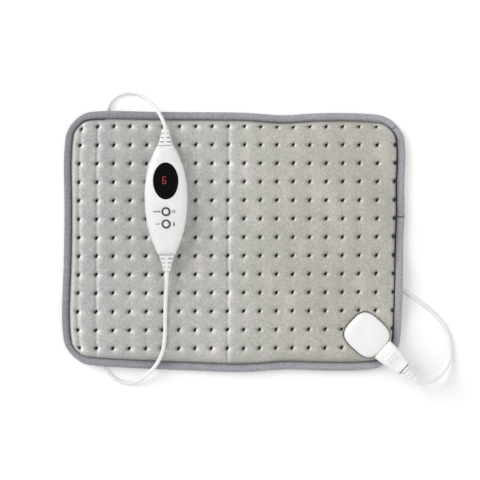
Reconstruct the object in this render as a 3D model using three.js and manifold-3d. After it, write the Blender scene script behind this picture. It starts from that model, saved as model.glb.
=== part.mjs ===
// Electric heating pad with a hand controller, laid flat on a table.
// Millimetres, +Z up. The origin is the middle of the pad's footprint on the table.
// +X runs along the pad's length, +Y across it.

import * as THREE from 'three';
import { mergeVertices } from 'three/addons/utils/BufferGeometryUtils.js';
import Module from 'manifold-3d';

const wasm = await Module();
wasm.setup();

// Clearances
const SEAT_GAP = 0.3;
const WIRE_GAP = 0.6;
const SLIDE_GAP = 0.4;
const FLOOR_GAP = 0.1;

// Pad outline and tufts
const PAD_LENGTH = 400;
const PAD_WIDTH = 304;
const PAD_CORNER_RADIUS = 30;
const TUFT_COLUMNS = 20;
const TUFT_ROWS = 13;
const TUFT_MARGIN_X = 16;
const TUFT_MARGIN_Y = 21.5;
const TUFT_OFFSET_X = 2.4;
const TUFT_OFFSET_Y = 4.4;
const TUFT_DEPTH = 4.5;
const CROWN_RUN = 14;

// Pad layers
const COVER_CLOTH = 1.2;
const FELT_THICKNESS = 1.5;
const PLUSH_THICKNESS = 6.35;
const WIRE_DIAMETER = 1.4;
const WIRE_RUNS = 10;
const WIRE_MARGIN_TOP = 40;
const WIRE_MARGIN_BOTTOM = 48;
const WIRE_MARGIN_LEFT = 45;
const WIRE_MARGIN_RIGHT = 57;
const WIRE_MARGIN_RISER = 35;
const WIRE_SIDES = 4;
const WIRE_RUN_STEPS = 11;
const WIRE_TURN_STEPS = 4;
const CUTOUT_LENGTH = 14;
const CUTOUT_WIDTH = 6;
const SENSOR_LENGTH = 8;
const SENSOR_WIDTH = 4;
const CUTOUT_PLACE = [-100, -20];
const SENSOR_PLACE = [-60, -20];

// Edge binding
const BINDING_WIDTH = 9;
const BINDING_HEIGHT = 9;
const BINDING_CHAMFER = 2.2;
const BINDING_SLOT_DEPTH = 6.4;

// How the pad lies over the cords put under it
const PLATEAU_LIFT = 2.5;
const LIFT_RUN = 5.5;
const HUMP_HEIGHT = 16;
const HUMP_RADIUS = 125;
const HUMP_PLACE = [72, 36];
const CROSSING_LIFT = 5.4;
const CROSSING_RADIUS = 60;
const CROSSINGS = [[-148.3, 152], [-149.4, -152], [200, -56.6]];

// Controller
const CONTROLLER_PLACE = [-79.4, 47.5];
const CONTROLLER_TURN = THREE.MathUtils.degToRad(0.9);
const CONTROLLER_LENGTH = 128;
const CONTROLLER_WIDTH = 50;
const CONTROLLER_END_WIDTH = 19.5;
const CONTROLLER_HEIGHT = 22;
const CONTROLLER_PARTING = 10;
const CONTROLLER_WALL = 2;
const CONTROLLER_BULGE = 2.2;
const CONTROLLER_WIDEST = 0.06;
const OUTLINE_STEPS = 10;
const BOARD_INSET = 6;
const BOARD_THICKNESS = 1.6;
const POST_DIAMETER = 8.6;
const POST_HEIGHT = 5.7;
const BOSS_DIAMETER = 6.4;
const SCREW_DIAMETER = 2;
const SCREW_HEAD_DIAMETER = 5.4;
const SCREW_HEAD_HEIGHT = 1.6;
const SCREW_RECESS = 2.2;
const SCREW_LENGTH = 11;
const SCREW_X = 10;
const SCREW_END_INSET = 18;
const TERMINAL_SIZE = [12, 9, 7];
const CAPACITOR_SIZE = [6, 13, 7];
const TRIAC_SIZE = [5, 10, 6];
const FUSE_DIAMETER = 5.2;
const FUSE_LENGTH = 20;
const SIDE_PART_STANDOFF = 6;

// Display
const LENS_LENGTH = 42.7;
const LENS_WIDTH = 29.3;
const LENS_THICKNESS = 1.9;
const LENS_LEDGE = 2.4;
const LENS_PROUD = 0.4;
const LENS_Y = 22.4;
const MODULE_WIDTH = 13;
const MODULE_LENGTH = 19;
const DIGIT_WIDTH = 5.6;
const DIGIT_LENGTH = 9.6;
const DIGIT_STROKE = 1.3;
const DIGIT_PLATE = 0.5;
const DIGIT_RELIEF = 0.5;

// Buttons
const TIMER_BUTTON_Y = -13.4;
const HEAT_BUTTON_Y = -27.8;
const BUTTON_DIAMETER = 6.3;
const BUTTON_PROUD = 1.3;
const BUTTON_ROUND = 0.5;
const BUTTON_FLANGE = 1.2;
const BUTTON_STEM = 3;
const RING_DIAMETER = 10.6;
const RING_NECK = 8.4;
const RING_PROUD = 0.7;
const RING_DEPTH = 3;
const SWITCH_SIDE = 6.2;
const SWITCH_HEIGHT = 4;
const PLUNGER_DIAMETER = 3.1;
const PLUNGER_BORE_DEPTH = 2.5;
const PLUNGER_PROUD = 1.2;
const PLUNGER_TRAVEL = 0.6;

// Strain-relief boots of the controller
const BOOT_LENGTH = 18.7;
const BOOT_BASE_WIDTH = 18.6;
const BOOT_BASE_HEIGHT = 13;
const BOOT_TIP_WIDTH = 9;
const BOOT_TIP_HEIGHT = 8.4;
const BOOT_NECK_WIDTH = 10;
const BOOT_NECK_HEIGHT = 7;
const BOOT_COLLAR = 2.2;
const BOOT_COLLAR_LIP = 1;
const BOOT_COLLAR_SETBACK = 1.3;
const BOOT_SLOTS = 3;
const BOOT_SLOT_FIRST = 4.5;
const BOOT_SLOT_WIDTH = 1.3;
const BOOT_SLOT_PITCH = 5;
const BOOT_SPINE = 3.4;
const BOOT_RIM = 1;
const BOOT_WAIST_AT = 0.35;
const BOOT_WAIST = 0.76;

// Pad connector
const SOCKET_INSET_X = 43.6;
const SOCKET_INSET_Y = 43.2;
const SOCKET_HEADING = THREE.MathUtils.degToRad(-42.2);
const SOCKET_WIDTH = 44.5;
const SOCKET_LENGTH = 47.8;
const SOCKET_HEIGHT = 15.6;
const SOCKET_PARTING = 7.5;
const SOCKET_WALL = 2.2;
const SOCKET_SQUARENESS = 3.2;
const SOCKET_NECK = 14;
const SOCKET_SCREW_X = 12.5;
const SOCKET_SCREW_Y = -13;
const CLAMP_DIAMETER = 38;
const BLOCK_WIDTH = 27;
const BLOCK_LENGTH = 9;
const BLOCK_FRONT = 4;
const CONTACT_COUNT = 3;
const CONTACT_PITCH = 6.2;
const PIN_DIAMETER = 2.4;
const PIN_LENGTH = 21;

// Connector plug
const NOSE_WIDTH = 20;
const NOSE_HEIGHT = 9;
const NOSE_LENGTH = 16;
const PLUG_WIDTH = 26.7;
const PLUG_HEIGHT = 13;
const PLUG_LENGTH = 34.3;
const PLUG_END_WIDTH = 17;
const PLUG_END_HEIGHT = 10.4;
const PLUG_WALL = 2.4;
const PLUG_EDGE = 1;
const RIB_COUNT = 4;
const RIB_PITCH = 2.8;
const RIB_LENGTH = 13;
const RIB_WIDTH = 1.2;
const RIB_HEIGHT = 0.5;
const SLEEVE_DIAMETER = 4.4;
const SLEEVE_BORE = 3.2;
const RELIEF_LENGTH = 19.7;
const RELIEF_BASE = 13;
const RELIEF_TIP = 7;
const RELIEF_RIBS = 4;
const RELIEF_FLATNESS = 0.82;
const RELIEF_NECK = 0.76;
const RELIEF_RIB_SHARE = 0.6;
const RELIEF_RIB_TAPER = 0.96;

// Cords
const CORD_DIAMETER = 4.4;
const CORD_SIDES = 8;
const COIL_PLACE = [98, 20];
const COIL_PITCH = 4.9;
const COIL_TURNS = 8.5;
const COIL_LEAST_RADIUS = 14;
const COIL_STEPS = 24;
const COIL_SIDES = 6;
const COIL_LEAD_IN = 5.4;
const COIL_TAIL = 14;
const TIE_WIDTH = 8;
const TIE_THICKNESS = 0.6;

// Mains plug
const MAINS_PLUG_LENGTH = 35;
const MAINS_PLUG_WIDTH = 35.3;
const MAINS_PLUG_HEIGHT = 13.7;
const MAINS_PLUG_NECK = 15;
const MAINS_PIN_DIAMETER = 4;
const MAINS_PIN_LENGTH = 19;
const MAINS_PIN_PITCH = 19;
const MAINS_RELIEF_LENGTH = 25.6;
const MAINS_RELIEF_BASE = 11;
const MAINS_RELIEF_TIP = 6.4;

// Overshoot of a cutting tool past the face that it cuts
const CUT_OVERSHOOT = 1;

// Heights that follow from the sizes above
const SHOULDER_INSET = BINDING_WIDTH + SLIDE_GAP;
const FLANGE_INSET = BINDING_WIDTH - BINDING_SLOT_DEPTH + SEAT_GAP;
const MID_PLANE = BINDING_HEIGHT / 2;
const FLANGE_UNDER = SEAT_GAP / 2;
const FLANGE_TOP = FLANGE_UNDER + COVER_CLOTH;
const FELT_UNDER = SEAT_GAP / 2;
const FELT_TOP = FELT_UNDER + FELT_THICKNESS;
const WIRE_AXIS = FELT_TOP + WIRE_GAP + WIRE_DIAMETER / 2;
const PLUSH_UNDER = FELT_TOP + 2 * WIRE_GAP + WIRE_DIAMETER;
const PLUSH_TOP = PLUSH_UNDER + PLUSH_THICKNESS;
const FLAT_LEVEL = MID_PLANE + PLATEAU_LIFT;
const PAD_SEAT = FLAT_LEVEL + PLUSH_TOP + SEAT_GAP;
const WIRE_ROOM = WIRE_DIAMETER + 2 * WIRE_GAP - 2 * SEAT_GAP;
const COIL_LOWER_Z = FLOOR_GAP + TIE_THICKNESS + SEAT_GAP + CORD_DIAMETER / 2;
const COIL_UPPER_Z = COIL_LOWER_Z + COIL_PITCH;
const COIL_OUTER_RADIUS = COIL_LEAST_RADIUS + COIL_PITCH * COIL_TURNS / 2;
const MAINS_PLUG_Z = MAINS_PLUG_HEIGHT / 2 + FLOOR_GAP;

// Places that follow from the sizes above
const WIRE_TOP = PAD_WIDTH / 2 - WIRE_MARGIN_TOP;
const WIRE_PITCH = (PAD_WIDTH - WIRE_MARGIN_TOP - WIRE_MARGIN_BOTTOM) / (WIRE_RUNS - 1);
const WIRE_LEFT = WIRE_MARGIN_LEFT - PAD_LENGTH / 2;
const WIRE_RIGHT = PAD_LENGTH / 2 - WIRE_MARGIN_RIGHT;
const WIRE_RISER = PAD_LENGTH / 2 - WIRE_MARGIN_RISER;
const SCREW_Y = CONTROLLER_LENGTH / 2 - SCREW_END_INSET;

// Looks
const PLUSH_GREY = { color: 0xb6b4ae, roughness: 0.95, metalness: 0 };
const BINDING_GREY = { color: 0x95979c, roughness: 0.9, metalness: 0 };
const FELT_CREAM = { color: 0xd8d2c4, roughness: 1, metalness: 0 };
const WIRE_RED = { color: 0xa8584c, roughness: 0.6, metalness: 0 };
const WHITE_PLASTIC = { color: 0xefefef, roughness: 0.4, metalness: 0 };
const BLACK_GLOSS = { color: 0x101010, roughness: 0.1, metalness: 0 };
const DARK_PLASTIC = { color: 0x3c3d40, roughness: 0.5, metalness: 0 };
const BOARD_GREEN = { color: 0x2f6b45, roughness: 0.6, metalness: 0 };
const LIT_RED = { color: 0xc83c46, roughness: 0.4, metalness: 0 };
const BRASS = { color: 0xc9a860, roughness: 0.3, metalness: 1 };
const STEEL = { color: 0xb8bcc0, roughness: 0.3, metalness: 1 };
const GLASS_CLEAR = { color: 0xd6e0dc, roughness: 0.1, metalness: 0 };
const BLUE_CASE = { color: 0x3f6f9c, roughness: 0.5, metalness: 0 };

// Mesh helpers
function closedGeometry(geometry) {
  const bare = new THREE.BufferGeometry();
  bare.setAttribute('position', geometry.getAttribute('position'));
  if (geometry.index) bare.setIndex(geometry.index);
  const merged = mergeVertices(bare);
  const place = merged.getAttribute('position');
  const kept = [];
  let volume = 0;
  const corners = [new THREE.Vector3(), new THREE.Vector3(), new THREE.Vector3()];
  for (let i = 0; i < merged.index.count; i += 3) {
    const face = [0, 1, 2].map((k) => merged.index.getX(i + k));
    if (new Set(face).size < 3) continue;
    face.forEach((vertex, k) => corners[k].fromBufferAttribute(place, vertex));
    volume += corners[0].dot(corners[1].clone().cross(corners[2]));
    kept.push(...face);
  }
  if (volume < 0) {
    for (let i = 0; i < kept.length; i += 3) [kept[i], kept[i + 1]] = [kept[i + 1], kept[i]];
  }
  merged.setIndex(kept);
  return merged;
}

function toSolid(geometry) {
  const closed = closedGeometry(geometry);
  return new wasm.Manifold(new wasm.Mesh({
    numProp: 3,
    vertProperties: Float32Array.from(closed.getAttribute('position').array),
    triVerts: Uint32Array.from(closed.index.array),
  }));
}

function toGeometry(solid) {
  const mesh = solid.getMesh();
  const geometry = new THREE.BufferGeometry();
  const places = Float32Array.from(mesh.vertProperties);
  geometry.setAttribute('position', new THREE.BufferAttribute(places, 3));
  geometry.setIndex(Array.from(mesh.triVerts));
  return geometry;
}

function cut(body, tools) {
  let solid = toSolid(body);
  for (const tool of tools) solid = solid.subtract(toSolid(tool));
  return toGeometry(solid);
}

function join(bodies) {
  let solid = toSolid(bodies[0]);
  for (const body of bodies.slice(1)) solid = solid.add(toSolid(body));
  return toGeometry(solid);
}

function keep(body, tool) {
  return toGeometry(toSolid(body).intersect(toSolid(tool)));
}

function box(low, high) {
  const size = high.map((value, axis) => value - low[axis]);
  const middle = high.map((value, axis) => (value + low[axis]) / 2);
  return new THREE.BoxGeometry(...size).translate(...middle);
}

function post(x, y, radius, low, high, sides = 12) {
  const cylinder = new THREE.CylinderGeometry(radius, radius, high - low, sides);
  return cylinder.rotateX(Math.PI / 2).translate(x, y, (low + high) / 2);
}

function rodAlongY(x, z, radius, low, high, sides = 8) {
  return new THREE.CylinderGeometry(radius, radius, high - low, sides).translate(x, (low + high) / 2, z);
}

function turned(profile, sides = 14) {
  const points = profile.map(([radius, height]) => new THREE.Vector2(radius, height));
  return new THREE.LatheGeometry(points, sides).rotateX(Math.PI / 2);
}

function loft(rings) {
  const count = rings[0].length;
  const points = rings.flat();
  const faces = [];
  for (let level = 0; level + 1 < rings.length; level += 1) {
    for (let k = 0; k < count; k += 1) {
      const a = level * count + k;
      const b = level * count + (k + 1) % count;
      faces.push(a, b, b + count, a, b + count, a + count);
    }
  }
  const middle = (ring) => [0, 1, 2].map((axis) => ring.reduce((sum, p) => sum + p[axis], 0) / count);
  const first = points.push(middle(rings[0])) - 1;
  const last = points.push(middle(rings.at(-1))) - 1;
  const top = (rings.length - 1) * count;
  for (let k = 0; k < count; k += 1) {
    const next = (k + 1) % count;
    faces.push(first, next, k, last, top + k, top + next);
  }
  const geometry = new THREE.BufferGeometry();
  geometry.setAttribute('position', new THREE.Float32BufferAttribute(points.flat(), 3));
  geometry.setIndex(faces);
  return geometry;
}

function sweptTube(points, radius, sides) {
  const rings = points.map((point, i) => {
    const before = points[Math.max(i - 1, 0)];
    const after = points[Math.min(i + 1, points.length - 1)];
    const along = after.clone().sub(before).normalize();
    const side = new THREE.Vector3(along.y, -along.x, 0).normalize();
    const up = new THREE.Vector3().crossVectors(side, along);
    return Array.from({ length: sides }, (_, k) => {
      const angle = (k + 0.5) * 2 * Math.PI / sides;
      const out = side.clone().multiplyScalar(Math.cos(angle)).addScaledVector(up, Math.sin(angle));
      return point.clone().addScaledVector(out, radius).toArray();
    });
  });
  return loft(rings);
}

function roundedSection(width, height, place) {
  const corner = Math.min(width, height) * 0.3;
  const spots = [];
  const arcs = [[1, 1, 0], [-1, 1, 90], [-1, -1, 180], [1, -1, 270]];
  for (const [sx, sy, start] of arcs) {
    for (const turn of [0, 45, 90]) {
      const angle = THREE.MathUtils.degToRad(start + turn);
      const across = sx * (width / 2 - corner) + corner * Math.cos(angle);
      const up = sy * (height / 2 - corner) + corner * Math.sin(angle);
      spots.push(place(across, up));
    }
  }
  return spots;
}

function loftAlongY(stations, x = 0, z = 0) {
  return loft(stations.map(([y, width, height]) =>
    roundedSection(width, height, (across, up) => [x + across, y, z + up])));
}

function add(group, name, geometry, look) {
  const mesh = new THREE.Mesh(closedGeometry(geometry), new THREE.MeshStandardMaterial(look));
  mesh.name = name;
  group.add(mesh);
  return mesh;
}

// How the pad lies: its outline, the distance in from its edge and its lift from the table
const CORE_X = PAD_LENGTH / 2 - PAD_CORNER_RADIUS;
const CORE_Y = PAD_WIDTH / 2 - PAD_CORNER_RADIUS;

function edgeDistance(x, y) {
  const qx = Math.abs(x) - CORE_X;
  const qy = Math.abs(y) - CORE_Y;
  const outside = Math.hypot(Math.max(qx, 0), Math.max(qy, 0));
  return PAD_CORNER_RADIUS - outside - Math.min(Math.max(qx, qy), 0);
}

function softBump(share) {
  return share >= 1 ? 0 : (1 - share * share) ** 2;
}

function lift(x, y) {
  const depth = edgeDistance(x, y);
  const inward = THREE.MathUtils.smoothstep(depth, SHOULDER_INSET, SHOULDER_INSET + LIFT_RUN);
  const hump = softBump(Math.hypot(x - HUMP_PLACE[0], y - HUMP_PLACE[1]) / HUMP_RADIUS);
  const bumps = CROSSINGS.map(([cx, cy]) => softBump(Math.hypot(x - cx, y - cy) / CROSSING_RADIUS));
  const crossing = Math.max(...bumps);
  return inward * (PLATEAU_LIFT + HUMP_HEIGHT * hump) + (1 - inward) * CROSSING_LIFT * crossing;
}

function layLevel(x, y) {
  return MID_PLANE + lift(x, y);
}

function roundCorner(x, y) {
  const u = Math.abs(x) - CORE_X;
  const v = Math.abs(y) - CORE_Y;
  if (u <= 0 || v <= 0) return [x, y];
  const reach = Math.max(u, v);
  const turn = Math.PI / 4 * Math.min(u, v) / reach;
  const angle = u >= v ? turn : Math.PI / 2 - turn;
  const px = CORE_X + reach * Math.cos(angle);
  const py = CORE_Y + reach * Math.sin(angle);
  return [Math.sign(x) * px, Math.sign(y) * py];
}

// Grid lines halfway between the tufts, with the flange's two lines at each edge
function tuftGrid(half, margin, count, offset) {
  const pitch = (2 * half - 2 * margin) / (count - 1);
  const tufts = Array.from({ length: count }, (_, i) => -half + margin + offset + i * pitch);
  const shoulder = half - SHOULDER_INSET;
  const borders = tufts.slice(1).map((tuft) => tuft - pitch / 2);
  const roomForRow = 0.6 * pitch;
  if (tufts[0] + shoulder > roomForRow) borders.unshift(tufts[0] - pitch / 2);
  if (shoulder - tufts.at(-1) > roomForRow) borders.push(tufts.at(-1) + pitch / 2);
  const lines = [-half + FLANGE_INSET, -shoulder, ...borders, shoulder, half - FLANGE_INSET];
  return { lines, tufts };
}

const GRID_X = tuftGrid(PAD_LENGTH / 2, TUFT_MARGIN_X, TUFT_COLUMNS, TUFT_OFFSET_X);
const GRID_Y = tuftGrid(PAD_WIDTH / 2, TUFT_MARGIN_Y, TUFT_ROWS, TUFT_OFFSET_Y);

function layer(xs, ys, under, over, pit) {
  const points = [];
  const faces = [];
  const columns = xs.length;
  const pointsPerSide = columns * ys.length;
  for (const side of [over, under]) {
    for (const y of ys) {
      for (const x of xs) {
        const [px, py] = roundCorner(x, y);
        points.push([px, py, side(px, py)]);
      }
    }
  }
  for (let j = 0; j + 1 < ys.length; j += 1) {
    for (let i = 0; i + 1 < columns; i += 1) {
      const a = j * columns + i;
      const ring = [a, a + 1, a + 1 + columns, a + columns];
      const low = pit && pit(xs[i], xs[i + 1], ys[j], ys[j + 1]);
      if (low) {
        const tip = points.push(low) - 1;
        ring.forEach((corner, k) => faces.push(corner, ring[(k + 1) % 4], tip));
      } else {
        faces.push(ring[0], ring[1], ring[2], ring[0], ring[2], ring[3]);
      }
      const down = ring.map((corner) => corner + pointsPerSide);
      faces.push(down[0], down[2], down[1], down[0], down[3], down[2]);
    }
  }
  const edge = edgeLoop(xs.length, ys.length).map(([i, j]) => j * columns + i);
  edge.forEach((a, k) => {
    const b = edge[(k + 1) % edge.length];
    faces.push(a, a + pointsPerSide, b, b, a + pointsPerSide, b + pointsPerSide);
  });
  const geometry = new THREE.BufferGeometry();
  geometry.setAttribute('position', new THREE.Float32BufferAttribute(points.flat(), 3));
  geometry.setIndex(faces);
  return geometry;
}

function edgeLoop(columns, rows) {
  const loop = [];
  for (let i = 0; i < columns - 1; i += 1) loop.push([i, 0]);
  for (let j = 0; j < rows - 1; j += 1) loop.push([columns - 1, j]);
  for (let i = columns - 1; i > 0; i -= 1) loop.push([i, rows - 1]);
  for (let j = rows - 1; j > 0; j -= 1) loop.push([0, j]);
  return loop;
}

const socketPlace = [PAD_LENGTH / 2 - SOCKET_INSET_X, -PAD_WIDTH / 2 + SOCKET_INSET_Y];

function crownTop(x, y) {
  const share = THREE.MathUtils.clamp((edgeDistance(x, y) - SHOULDER_INSET) / CROWN_RUN, 0, 1);
  return FLANGE_TOP + (PLUSH_TOP - FLANGE_TOP) * Math.sin(share * Math.PI / 2);
}

function plushUnder(x, y) {
  return edgeDistance(x, y) > SHOULDER_INSET + SEAT_GAP ? PLUSH_UNDER : FLANGE_UNDER;
}

function tuftPit(left, right, near, far) {
  const x = GRID_X.tufts.find((tuft) => tuft > left && tuft < right);
  const y = GRID_Y.tufts.find((tuft) => tuft > near && tuft < far);
  const bareCorner = x === GRID_X.tufts.at(-1) && y === GRID_Y.tufts.at(-1);
  if (x === undefined || y === undefined || bareCorner) return null;
  const [px, py] = roundCorner(x, y);
  const cloth = crownTop(px, py);
  const floor = Math.min(cloth, FLANGE_TOP + SEAT_GAP);
  return [px, py, layLevel(px, py) + Math.max(cloth - TUFT_DEPTH, floor)];
}

// Pad: covers, felt, heating wire and binding
function buildPad() {
  const pad = new THREE.Group();
  const xs = GRID_X.lines;
  const ys = GRID_Y.lines;
  const plushFace = (x, y) => layLevel(x, y) + crownTop(x, y);
  const plushBack = (x, y) => layLevel(x, y) + plushUnder(x, y);
  const plush = layer(xs, ys, plushBack, plushFace, tuftPit);
  add(pad, 'pad_front_cover', cut(plush, socketHoles()), PLUSH_GREY);
  const level = (height) => (x, y) => layLevel(x, y) + height;
  add(pad, 'pad_back_cover', layer(xs, ys, level(-FLANGE_TOP), level(-FLANGE_UNDER)), PLUSH_GREY);
  const felt = layer(xs.slice(2, -2), ys.slice(2, -2), level(FELT_UNDER), level(FELT_TOP));
  add(pad, 'heating_felt', felt, FELT_CREAM);
  add(pad, 'heating_wire', sweptTube(wireRoute(), WIRE_DIAMETER / 2, WIRE_SIDES), WIRE_RED);
  addOnFelt(pad, 'thermal_cutout', CUTOUT_PLACE, CUTOUT_LENGTH, CUTOUT_WIDTH, STEEL);
  addOnFelt(pad, 'temperature_sensor', SENSOR_PLACE, SENSOR_LENGTH, SENSOR_WIDTH, DARK_PLASTIC);
  add(pad, 'edge_binding', bindingRing(xs, ys), BINDING_GREY);
  return pad;
}

function addOnFelt(group, name, [x, y], length, width, look) {
  const low = FLAT_LEVEL + FELT_TOP + SEAT_GAP;
  const capsule = loftAlongY([
    [-length / 2, width * 0.7, WIRE_ROOM * 0.6],
    [-length / 2 + WIRE_ROOM, width, WIRE_ROOM],
    [length / 2 - WIRE_ROOM, width, WIRE_ROOM],
    [length / 2, width * 0.7, WIRE_ROOM * 0.6],
  ]);
  add(group, name, capsule.rotateZ(Math.PI / 2).translate(x, y, low + WIRE_ROOM / 2), look);
}

function socketHoles() {
  const reach = PLUSH_TOP + FLAT_LEVEL + PLUSH_THICKNESS;
  const holes = [post(0, 0, SOCKET_NECK / 2 + SLIDE_GAP, 0, reach)];
  for (const x of [-SOCKET_SCREW_X, SOCKET_SCREW_X]) {
    holes.push(post(x, SOCKET_SCREW_Y, SCREW_DIAMETER / 2 + SLIDE_GAP, 0, reach, 10));
  }
  const turn = SOCKET_HEADING - Math.PI / 2;
  return holes.map((hole) => hole.rotateZ(turn).translate(socketPlace[0], socketPlace[1], 0));
}

function wireRoute() {
  const radius = WIRE_PITCH / 2;
  const plan = [];
  const riserFoot = WIRE_TOP - (WIRE_RUNS - 2) * WIRE_PITCH;
  for (let k = 0; k <= WIRE_RUN_STEPS; k += 1) {
    plan.push([WIRE_RISER, riserFoot + (WIRE_TOP - radius - riserFoot) * k / WIRE_RUN_STEPS]);
  }
  for (const angle of [30, 60]) {
    const turn = THREE.MathUtils.degToRad(angle);
    const x = WIRE_RISER - radius + radius * Math.cos(turn);
    plan.push([x, WIRE_TOP - radius + radius * Math.sin(turn)]);
  }
  for (let run = 0; run < WIRE_RUNS; run += 1) {
    const y = WIRE_TOP - run * WIRE_PITCH;
    const leftward = run % 2 === 0;
    const last = run === WIRE_RUNS - 1;
    const right = last ? socketPlace[0] - CLAMP_DIAMETER / 2 - WIRE_PITCH / 2 : WIRE_RIGHT;
    const from = leftward ? right : WIRE_LEFT;
    const to = leftward ? WIRE_LEFT : right;
    for (let k = 0; k <= WIRE_RUN_STEPS; k += 1) {
      plan.push([from + (to - from) * k / WIRE_RUN_STEPS, y]);
    }
    for (let k = 1; k < WIRE_TURN_STEPS && !last; k += 1) {
      const angle = Math.PI * k / WIRE_TURN_STEPS;
      const out = radius * Math.sin(angle) * (leftward ? -1 : 1);
      plan.push([to + out, y - radius + radius * Math.cos(angle)]);
    }
  }
  return plan.map(([x, y]) => new THREE.Vector3(x, y, layLevel(x, y) + WIRE_AXIS));
}

function bindingRing(xs, ys) {
  const half = BINDING_HEIGHT / 2;
  const slot = FLANGE_TOP + SEAT_GAP;
  const slotFoot = BINDING_WIDTH - BINDING_SLOT_DEPTH;
  const chamfer = BINDING_CHAMFER;
  const lip = chamfer / 2;
  const section = [
    [chamfer, -half],
    [BINDING_WIDTH - lip, -half],
    [BINDING_WIDTH, -slot],
    [slotFoot, -slot],
    [slotFoot, slot],
    [BINDING_WIDTH, slot],
    [BINDING_WIDTH - lip, half],
    [chamfer, half],
    [0, half - chamfer],
    [0, chamfer - half],
  ];
  const rings = edgeLoop(xs.length, ys.length).map(([i, j]) => {
    const [x, y] = roundCorner(xs[i], ys[j]);
    const coreX = THREE.MathUtils.clamp(x, -CORE_X, CORE_X);
    const coreY = THREE.MathUtils.clamp(y, -CORE_Y, CORE_Y);
    const reach = Math.hypot(x - coreX, y - coreY);
    return section.map(([inset, height]) => {
      const share = (PAD_CORNER_RADIUS - inset) / reach;
      const px = coreX + (x - coreX) * share;
      const py = coreY + (y - coreY) * share;
      return [px, py, layLevel(px, py) + height];
    });
  });
  return closedSweep(rings);
}

function closedSweep(rings) {
  const count = rings[0].length;
  const faces = [];
  rings.forEach((_, level) => {
    const here = level * count;
    const there = ((level + 1) % rings.length) * count;
    for (let k = 0; k < count; k += 1) {
      const next = (k + 1) % count;
      faces.push(here + k, here + next, there + next, here + k, there + next, there + k);
    }
  });
  const geometry = new THREE.BufferGeometry();
  geometry.setAttribute('position', new THREE.Float32BufferAttribute(rings.flat(2), 3));
  geometry.setIndex(faces);
  return geometry;
}

// Controller: a pointed oval case in two shells
function controllerRing(inset, z) {
  const end = CONTROLLER_END_WIDTH / 2;
  const swell = CONTROLLER_WIDTH / 2 - end;
  const right = Array.from({ length: OUTLINE_STEPS + 1 }, (_, k) => {
    const along = -Math.cos(Math.PI * k / OUTLINE_STEPS);
    const offset = along - CONTROLLER_WIDEST;
    const away = Math.abs(offset) / (1 - CONTROLLER_WIDEST * Math.sign(offset));
    const halfWidth = end + swell * (1 - away ** CONTROLLER_BULGE) - inset;
    return [Math.max(halfWidth, end * 0.1), along * (CONTROLLER_LENGTH / 2 - inset), z];
  });
  const left = right.map(([x, y]) => [-x, y, z]).reverse();
  return [...right, ...left];
}

function topShellHeights() {
  const foot = CONTROLLER_PARTING + SEAT_GAP / 2;
  const rise = CONTROLLER_HEIGHT - foot;
  return [[0, 0], [0, 0.34], [0.05, 0.62], [0.16, 0.82], [0.32, 0.93], [0.66, 1]]
    .map(([inset, share]) => [inset * CONTROLLER_WIDTH / 2, foot + rise * share]);
}

function controllerTopAt(inset) {
  const rows = topShellHeights();
  const next = rows.findIndex(([at]) => at > inset);
  if (next < 1) return next < 0 ? CONTROLLER_HEIGHT : rows[0][1];
  const [fromInset, fromZ] = rows[next - 1];
  const [toInset, toZ] = rows[next];
  return fromZ + (toZ - fromZ) * (inset - fromInset) / (toInset - fromInset);
}

function screwPlaces() {
  return [[-SCREW_X, -SCREW_Y], [SCREW_X, -SCREW_Y], [-SCREW_X, SCREW_Y], [SCREW_X, SCREW_Y]];
}

function ovalRing(width, length, z, steps = 20) {
  return Array.from({ length: steps }, (_, k) => {
    const angle = 2 * Math.PI * k / steps;
    return [width / 2 * Math.cos(angle), LENS_Y + length / 2 * Math.sin(angle), z];
  });
}

function oval(width, length, low, high) {
  return loft([ovalRing(width, length, low), ovalRing(width, length, high)]);
}

function bootOpenings() {
  const width = BOOT_NECK_WIDTH / 2 + SEAT_GAP;
  const height = BOOT_NECK_HEIGHT / 2 + SEAT_GAP;
  const outer = CONTROLLER_LENGTH / 2 + CONTROLLER_WALL;
  const inner = CONTROLLER_LENGTH / 2 - 2 * CONTROLLER_WALL;
  return [1, -1].map((end) => box(
    [-width, Math.min(end * inner, end * outer), CONTROLLER_PARTING - height],
    [width, Math.max(end * inner, end * outer), CONTROLLER_PARTING + height],
  ));
}

const lensTopEdge = controllerTopAt((CONTROLLER_WIDTH - LENS_WIDTH) / 2) + LENS_PROUD;
const lensUnder = lensTopEdge - LENS_THICKNESS;
const boardUnder = POST_HEIGHT + SEAT_GAP;
const boardTop = boardUnder + BOARD_THICKNESS;
const onBoard = boardTop + SEAT_GAP;

function buildController() {
  const controller = new THREE.Group();
  controller.position.set(CONTROLLER_PLACE[0], CONTROLLER_PLACE[1], PAD_SEAT);
  controller.rotation.z = CONTROLLER_TURN;
  add(controller, 'controller_top_shell', topShell(), WHITE_PLASTIC);
  add(controller, 'controller_bottom_shell', bottomShell(), WHITE_PLASTIC);
  addDisplay(controller);
  addButton(controller, 'timer', TIMER_BUTTON_Y);
  addButton(controller, 'heat', HEAT_BUTTON_Y);
  addBoard(controller);
  screwPlaces().forEach(([x, y], k) => {
    add(controller, `controller_screw_${k + 1}`, controllerScrew().translate(x, y, 0), STEEL);
  });
  add(controller, 'upper_boot', boot(1), WHITE_PLASTIC);
  add(controller, 'lower_boot', boot(-1), WHITE_PLASTIC);
  return controller;
}

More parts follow.
